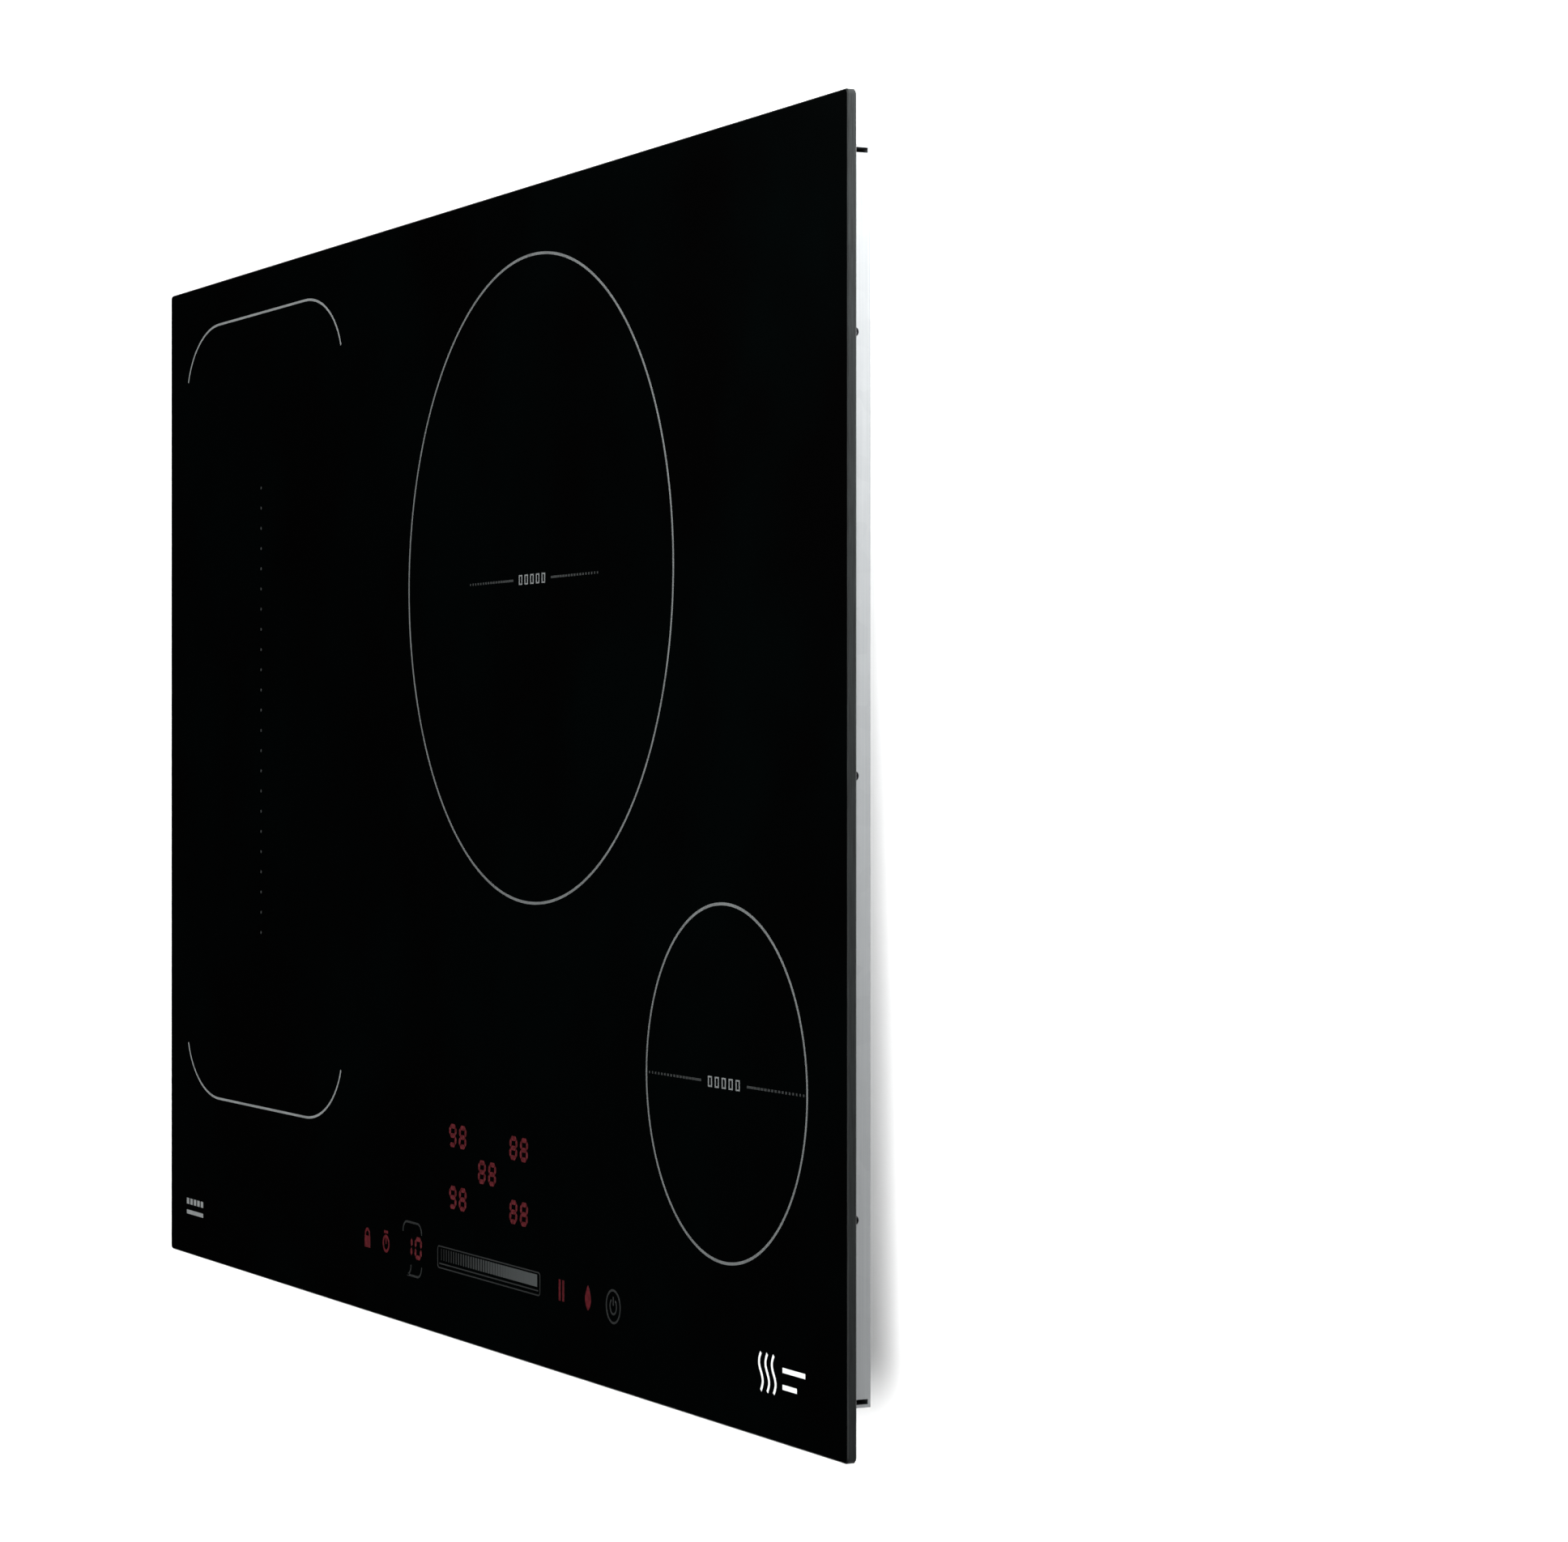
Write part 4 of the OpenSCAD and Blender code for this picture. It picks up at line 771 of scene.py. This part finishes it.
class COOKTOP_OT_controls(bpy.types.Operator):
    """Touch controls: the slider, the timer's brackets, the lit icons and the on-off mark"""
    bl_idname = "cooktop.controls"
    bl_label = "Touch controls"

    # All in millimetres: X from the module's middle, Y from the front edge of the glass
    ROW = 36.0
    SLIDER_ENDS = (-54.8, 61.7)
    SLIDER_H = 10.0
    STROKES = 38
    TIMER = (-86.0, 23.0)
    TIMER_ARCS = (48.5, 23.5)
    ICONS = (-143.0, -119.0, 84.7, 112.3)
    POWER = (137.8, 35.2)
    POWER_R = 6.9

    def slider(self, low, high):
        """A thin rounded frame with a scale line, and strokes that grow to the right until they meet."""
        x0, x1 = self.SLIDER_ENDS
        outline = rounded_rectangle((x1 - x0) * MM, self.SLIDER_H * MM, 1.5 * MM, 4)
        edge = ribbon(outline + at_controls((x0 + x1) / 2, self.ROW), 0.6 * MM, low, high, True)
        scale = ribbon([at_controls(x0 + 2, self.ROW - 3), at_controls(x1 - 2, self.ROW - 3)], 0.6 * MM, low, high)
        pitch = (x1 - x0 - 6) / self.STROKES
        strokes = []
        for k in range(self.STROKES):
            x = x0 + 3 + (k + 0.5) * pitch
            width = min(0.5 + 0.085 * k, 0.98 * pitch)
            strokes.append(ribbon([at_controls(x, self.ROW - 1.4), at_controls(x, self.ROW + 4)],
                                  width * MM, low, high))
        return [edge, scale], strokes

    def padlock(self, at, low, high):
        body = plate(np.array([[-3.6, -5], [3.6, -5], [3.6, 0.6], [-3.6, 0.6]]) * MM + at, low, high)
        return [body, ribbon(arc_path(at + (0, 1.2 * MM), 2.6 * MM, -15, 195, 14), 1.4 * MM, low, high)]

    def clock(self, at, low, high):
        rim = ribbon(arc_path(at - (0, 0.8 * MM), 3.6 * MM, 0, 345, 24), 1.4 * MM, low, high, True)
        hand = ribbon(np.array([[0, 2.0], [0, -1.0]]) * MM + at, 1.2 * MM, low, high)
        button = ribbon(np.array([[-2.4, 4.8], [2.4, 4.8]]) * MM + at, 1.4 * MM, low, high)
        return [rim, hand, button]

    def pause(self, at, low, high):
        return [ribbon(np.array([[s * 1.9, -4.6], [s * 1.9, 4.6]]) * MM + at, 1.9 * MM, low, high) for s in (-1, 1)]

    def flame(self, at, low, high):
        """A teardrop: its half width is sin(pi h) (1 - 0.45 h) at height h from 0 to 1."""
        h = np.linspace(0.02, 0.98, 14)
        half = 3.8 * np.sin(math.pi * h) ** 0.8 * (1 - 0.45 * h)
        up = 11 * h - 5.5
        outline = np.concatenate([np.stack([half, up], 1), np.stack([-half, up], 1)[::-1]])
        return [plate(outline * MM + at, low, high)]

    def timer_brackets(self, low, high):
        """Two lines with quarter-round ends, above and below the timer's digits."""
        x, w = self.TIMER
        r = 5.0
        parts = []
        for y, s in zip(self.TIMER_ARCS, (1, -1)):
            first = arc_path(at_controls(x - w / 2 + r, y - s * r), r * MM, 90 + s * 90, 90 * s, 8)
            last = arc_path(at_controls(x + w / 2 - r, y - s * r), r * MM, 90 * s, 90 * s - s * 90, 8)
            parts.append(ribbon(np.concatenate([first, last]), 1.0 * MM, low, high))
        return parts

    def execute(self, context):
        wishes = context.scene.cooktop_decor
        low, high = TOP - wishes.proud, TOP + wishes.proud
        dark = screen_print("dark_enamel", "#111313", "#1b1d1d")
        lines, strokes = self.slider(low, high)
        make_piece("slider_frame", lines, dark)
        ends = [at_controls(x, self.ROW)[0] for x in self.SLIDER_ENDS]
        make_piece("slider_strokes", strokes, fading_print(*ends))
        make_piece("timer_brackets", self.timer_brackets(low, high), dark)
        shapes = (self.padlock, self.clock, self.pause, self.flame)
        parts = [p for shape, x in zip(shapes, self.ICONS) for p in shape(at_controls(x, self.ROW), low, high)]
        make_piece("lit_icons", parts, led_segment("icon_glow", "#38070c", "#5a1820", wishes.glow))
        centre = at_controls(*self.POWER)
        ring = ribbon(arc_path(centre, self.POWER_R * MM, 0, 350, 36), 1.0 * MM, low, high, True)
        inner = ribbon(arc_path(centre, 3.2 * MM, 125, 415, 24), 0.9 * MM, low, high)
        stem = ribbon([centre + (0, 0.4 * MM), centre + (0, 4.2 * MM)], 0.9 * MM, low, high)
        make_piece("power_mark", [ring, inner, stem], dark)
        return {"FINISHED"}


class COOKTOP_OT_corner_marks(bpy.types.Operator):
    """Two plain printed marks in the front corners: rows of bars, and heat waves beside two bars"""
    bl_idname = "cooktop.corner_marks"
    bl_label = "Corner marks"

    # Middles of the marks from the corners of the glass
    LEFT_MARK = (39.5, 26.0)
    RIGHT_MARK = (-53.5, 26.0)

    def bars(self, centre, low, high):
        dashes = [ribbon(centre + MM * np.array([[x, 2.6], [x + 3.8, 2.6]]), 3.2 * MM, low, high)
                  for x in np.arange(-13.5, 11, 5.6)]
        return dashes + [ribbon(centre + MM * np.array([[-13.5, -3.2], [12.7, -3.2]]), 2.2 * MM, low, high)]

    def heat_waves(self, centre, low, high):
        """Three standing sine lines: x = x0 + 1.6 sin(2 pi s), y = 15 s - 7.5."""
        s = np.linspace(0, 1, 24)
        wave = np.stack([1.6 * np.sin(2 * math.pi * s), 15 * s - 7.5], 1)
        return [ribbon(centre + MM * (wave + (x, 0)), 1.5 * MM, low, high) for x in (-18.5, -13, -7.5)]

    def execute(self, context):
        wishes = context.scene.cooktop_decor
        low, high = TOP - wishes.proud, TOP + wishes.proud
        left = np.array(GLASS_LOW[:2]) + MM * np.array(self.LEFT_MARK)
        make_piece("left_corner_mark", self.bars(left, low, high),
                   screen_print("grey_mark_enamel", "#5d6060", "#787b7b"))
        right = np.array((GLASS_HIGH[0], GLASS_LOW[1])) + MM * np.array(self.RIGHT_MARK)
        parts = self.heat_waves(right, low, high)
        for y, end in ((2.8, 19.0), (-3.8, 12.0)):
            parts.append(ribbon(right + MM * np.array([[0, y], [end, y]]), 2.0 * MM, low, high))
        make_piece("right_corner_mark", parts, screen_print("white_enamel", "#b6b8b8", "#d4d6d6", 0.38))
        return {"FINISHED"}


class COOKTOP_OT_metalwork(bpy.types.Operator):
    """Zinc-coated tray, powder-coated rails, foam seals and pan-head screws"""
    bl_idname = "cooktop.metalwork"
    bl_label = "Metalwork"

    def screw_profile(self, r, h, length, shank):
        """A pan head: flat underside, a quarter-round rim, a dished middle for the driver, and the shank."""
        a = np.linspace(0, math.pi / 2, 6)
        rim = [(r - h * 0.6 + h * 0.6 * math.cos(t), h * 0.4 + h * 0.6 * math.sin(t)) for t in a]
        dish = [(r * 0.5, h), (r * 0.38, h * 0.35), (0, h * 0.3)]
        return [(0, -length), (shank, -length), (shank, 0), (r, 0)] + rim + dish

    def execute(self, context):
        wishes = context.scene.cooktop_metal
        zinc = zinc_sheet()
        dress(["support_tray"], zinc)
        coat = powder_coat()
        for name in ("rail_left", "rail_right"):
            softened(name, wishes.edge, coat)
        dress(["seal_front", "seal_rear"], cellular_foam("seal_foam", "#161616", "#262626"))
        low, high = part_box("rail_screws")
        tray_low, tray_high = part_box("support_tray")
        z = (low[2] + high[2]) / 2
        pitch = (high[1] - low[1]) / 2 - 2 * MM
        parts = []
        for s in (-1, 1):
            for y in (-pitch, 0, pitch):
                profile = self.screw_profile(wishes.head, high[0] - tray_high[0], 4.6 * MM, 1.5 * MM)
                parts.append(revolve(profile, (s * tray_high[0], y, z), (s, 0, 0)))
        made = make_piece("rail_pan_screws", parts, plated_steel("black_oxide", "#0a0a0b", "#17171a", 0.4),
                          smooth=True)
        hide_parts("rail_screws")
        bright = plated_steel("bright_zinc_plate", "#8f9295", "#b9bbbd", 0.32)
        dress(["base_screws", "board_screws"], bright)
        return {"FINISHED"}


class COOKTOP_OT_housing(bpy.types.Operator):
    """Moulded base housing and terminal cover"""
    bl_idname = "cooktop.housing"
    bl_label = "Base housing"

    def execute(self, context):
        wishes = context.scene.cooktop_metal
        plastic = moulded_plastic("moulded_base_plastic", "#1b1b1c", "#232324", 0.48)
        softened("base_housing", wishes.edge, plastic)
        dress(["terminal_cover"], plastic)
        return {"FINISHED"}


class COOKTOP_OT_coils(bpy.types.Operator):
    """Induction coils: spiral litz windings, helical carrier springs and the leads down to the boards"""
    bl_idname = "cooktop.coils"
    bl_label = "Coils"

    TRAVEL = 3 * MM

    def spiral(self, name, material, pitch):
        """A flat Archimedean spiral r = r0 + pitch a / 2 pi, wound in the node's own space."""
        low, high = (np.array(c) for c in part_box(f"coil_{name}_winding"))
        centre = (low + high) / 2
        outer = (high[0] - low[0]) / 2
        thick = high[2] - low[2]
        radius = min(thick, pitch) / 2 * 0.96
        eye = 18 * MM + radius
        turns = math.floor((outer - radius - eye) / pitch)
        a = np.linspace(0, turns * 2 * math.pi, turns * 56)
        r = eye + pitch * a / (2 * math.pi)
        path = np.stack([centre[0] + r * np.cos(a), centre[1] + r * np.sin(a), np.full(len(a), centre[2])], 1)
        part = tube(path, radius, (0, 0, 1))
        made = make_piece(f"litz_spiral_{name}", [part], material, f"coil_{name}", True)
        length = np.concatenate([[0], np.cumsum(np.linalg.norm(np.diff(path, axis=0), axis=1))]) / MM
        corner = np.empty(len(made.data.loops), np.int32)
        made.data.loops.foreach_get("vertex_index", corner)
        layer = made.data.uv_layers.new(name="along")
        layer.data.foreach_set("uv", np.stack([length[corner // 8], corner % 8 * 1.5], 1).ravel())
        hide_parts(f"coil_{name}_winding")

    def springs(self, name, material, turns):
        """Three helices round the guide pins: p(a) = (r cos a, r sin a, z0 + pitch a / 2 pi)."""
        low, high = (np.array(c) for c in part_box(f"coil_{name}_springs"))
        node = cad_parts[f"coil_{name}_springs"].data
        points = np.empty(len(node.vertices) * 3)
        node.vertices.foreach_get("co", points)
        points = points.reshape(-1, 3)[:, :2]
        coil_low, coil_high = (np.array(c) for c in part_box(f"coil_{name}_mica"))
        centre = ((coil_low + coil_high) / 2)[:2]
        angles = np.degrees(np.arctan2(*(points - centre).T[::-1])) % 120
        reach = np.linalg.norm(points - centre, axis=1)
        wide = (reach.max() + reach.min()) / 2
        first = np.degrees(np.angle(np.mean(np.exp(1j * np.radians(angles * 3))))) / 3
        wire = 0.35 * MM
        r = 2.9 * MM
        a = np.linspace(0, turns * 2 * math.pi, turns * 16)
        parts = []
        for k in range(3):
            turn = math.radians(first + 120 * k)
            at = centre + wide * np.array([math.cos(turn), math.sin(turn)])
            z = low[2] + wire + (high[2] - low[2] - 2 * wire) * a / a[-1]
            path = np.stack([at[0] + r * np.cos(a), at[1] + r * np.sin(a), z], 1)
            parts.append(tube(path, wire, (0, 0, 1), 6))
        made = make_piece(f"helical_springs_{name}", parts, material, smooth=True)
        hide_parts(f"coil_{name}_springs")
        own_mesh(made)

    def leads(self, material):
        """The two sleeved leads of each coil: the node's wires, merged, sorted by the nearest coil."""
        work = bmesh.new()
        work.from_mesh(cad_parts["coil_leads"].data)
        bmesh.ops.remove_doubles(work, verts=work.verts, dist=0.001 * MM)
        bmesh.ops.recalc_face_normals(work, faces=work.faces)
        owner = {}
        for first in work.verts:
            if first in owner:
                continue
            wire, waiting = {first}, [first]
            while waiting:
                for edge in waiting.pop().link_edges:
                    fresh = set(edge.verts) - wire
                    wire |= fresh
                    waiting += fresh
            top = np.array(max(wire, key=lambda v: v.co.z).co)[:2]
            nearest = min(COILS, key=lambda c: np.linalg.norm(middle_of(f"coil_{c}_mica") - top))
            owner.update(dict.fromkeys(wire, nearest))
        index = {v: k for k, v in enumerate(work.verts)}
        points = np.array([v.co for v in work.verts])
        for name in COILS:
            faces = [[index[v] for v in f.verts] for f in work.faces if owner[f.verts[0]] == name]
            used, flat = np.unique(np.concatenate(faces), return_inverse=True)
            ends = np.cumsum([0] + [len(f) for f in faces])
            own = [flat[a:b] for a, b in zip(ends, ends[1:])]
            made = make_piece(f"sleeved_leads_{name}", [(points[used], own)], material)
            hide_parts("coil_leads")
            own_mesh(made)
        work.free()

    def execute(self, context):
        wishes = context.scene.cooktop_coils
        litz = litz_wire()
        steel = plated_steel("spring_steel", "#8b8d90", "#b4b6b8", 0.3)
        for name in COILS:
            self.spiral(name, litz, wishes.pitch)
            self.springs(name, steel, wishes.spring_turns)
        dress([f"coil_{c}_mica" for c in COILS], mica_sheet())
        dress([f"coil_{c}_carrier" for c in COILS],
              moulded_plastic("glass_filled_nylon", "#a9a79c", "#b8b6ab", 0.5, 0.8))
        dress([f"coil_{c}_ferrites" for c in COILS], ferrite_block())
        dress([f"coil_{c}_sensor" for c in COILS],
              moulded_plastic("sensor_alumina", "#d8d6d0", "#e6e4de", 0.4, 0.6, 0.02))
        self.leads(moulded_plastic("silicone_sleeve", "#c3bda9", "#d2ccb9", 0.6, 0.5))
        return {"FINISHED"}


class COOKTOP_OT_electronics(bpy.types.Operator):
    """Boards, heat sinks, power parts, filter and mains terminals"""
    bl_idname = "cooktop.electronics"
    bl_label = "Electronics"

    def execute(self, context):
        dress(["power_board_left", "power_board_right", "filter_board", "ui_board"], solder_resist())
        dress(["heatsink_left", "heatsink_right"], extruded_aluminium())
        dress(["power_transistors", "rectifiers"], moulded_plastic("chip_epoxy", "#161617", "#1e1e20", 0.55, 0.3))
        dress(["bus_capacitors"], moulded_plastic("capacitor_case", "#b3a678", "#c2b68a", 0.3, 0.9, 0.02))
        dress(["filter_choke"], plated_steel("choke_copper", "#8a4726", "#b9693d", 0.35))
        dress(["terminal_block"], moulded_plastic("terminal_polyamide", "#c9c8c2", "#d6d5cf", 0.45, 0.5))
        dress(["terminal_screws"], plated_steel("terminal_brass", "#a98743", "#cdae66", 0.3))
        dress(["mains_wiring"], moulded_plastic("wire_pvc", "#5c1d14", "#722519", 0.35, 1.2, 0.02))
        return {"FINISHED"}


class COOKTOP_OT_fans(bpy.types.Operator):
    """Fan casings, wheels and stators"""
    bl_idname = "cooktop.fans"
    bl_label = "Fans"

    def execute(self, context):
        sides = ("left", "right")
        dress([f"fan_casing_{s}" for s in sides], moulded_plastic("fan_casing_plastic", "#1a1a1b", "#242426", 0.5))
        dress([f"fan_wheel_{s}" for s in sides], moulded_plastic("fan_wheel_plastic", "#2b2c2e", "#37383b", 0.4))
        dress([f"fan_stator_{s}" for s in sides], plated_steel("stator_copper", "#7b4226", "#b46a40", 0.4))
        return {"FINISHED"}


class COOKTOP_OT_control_module(bpy.types.Operator):
    """Control carrier, display housings, touch pads and flat cable under the glass"""
    bl_idname = "cooktop.control_module"
    bl_label = "Control module"

    def execute(self, context):
        dress(["ui_carrier"], moulded_plastic("carrier_abs", "#1c1c1e", "#262628", 0.5))
        dress(["ui_displays"], moulded_plastic("display_housing", "#2a0607", "#3a090b", 0.25, 0.8, 0.01))
        dress(["ui_touch_pads"], cellular_foam("conductive_foam", "#26272a", "#3c3e42"))
        dress(["ui_ribbon"], ridged_cable())
        return {"FINISHED"}


class COOKTOP_PT_panel(bpy.types.Panel):
    """Sidebar panel with every step of the cooktop"""
    bl_idname = "COOKTOP_PT_panel"
    bl_label = "Induction cooktop"
    bl_space_type = "VIEW_3D"
    bl_region_type = "UI"
    bl_category = "Cooktop"

    def draw(self, context):
        layout = self.layout
        for group in GROUPS:
            box = layout.box()
            settings = getattr(context.scene, group)
            for key in type(settings).__annotations__:
                box.prop(settings, key)
        for step in STEPS:
            layout.operator(step.bl_idname)


GROUPS = {
    "cooktop_glass": CooktopGlass,
    "cooktop_decor": CooktopDecor,
    "cooktop_metal": CooktopMetal,
    "cooktop_coils": CooktopCoils,
    "cooktop_stage": CooktopStage,
}
STEPS = (
    COOKTOP_OT_stage,
    COOKTOP_OT_glass,
    COOKTOP_OT_zones,
    COOKTOP_OT_centre_marks,
    COOKTOP_OT_digits,
    COOKTOP_OT_controls,
    COOKTOP_OT_corner_marks,
    COOKTOP_OT_metalwork,
    COOKTOP_OT_housing,
    COOKTOP_OT_coils,
    COOKTOP_OT_electronics,
    COOKTOP_OT_fans,
    COOKTOP_OT_control_module,
)


def register():
    for kind in (*GROUPS.values(), *STEPS, COOKTOP_PT_panel):
        bpy.utils.register_class(kind)
    for name, kind in GROUPS.items():
        setattr(bpy.types.Scene, name, PointerProperty(type=kind))


def unregister():
    for name in GROUPS:
        delattr(bpy.types.Scene, name)
    for kind in reversed((*GROUPS.values(), *STEPS, COOKTOP_PT_panel)):
        bpy.utils.unregister_class(kind)


def main():
    register()
    for step in STEPS:
        getattr(bpy.ops.cooktop, step.bl_idname.split(".")[1])()


if __name__ == "__main__":
    main()
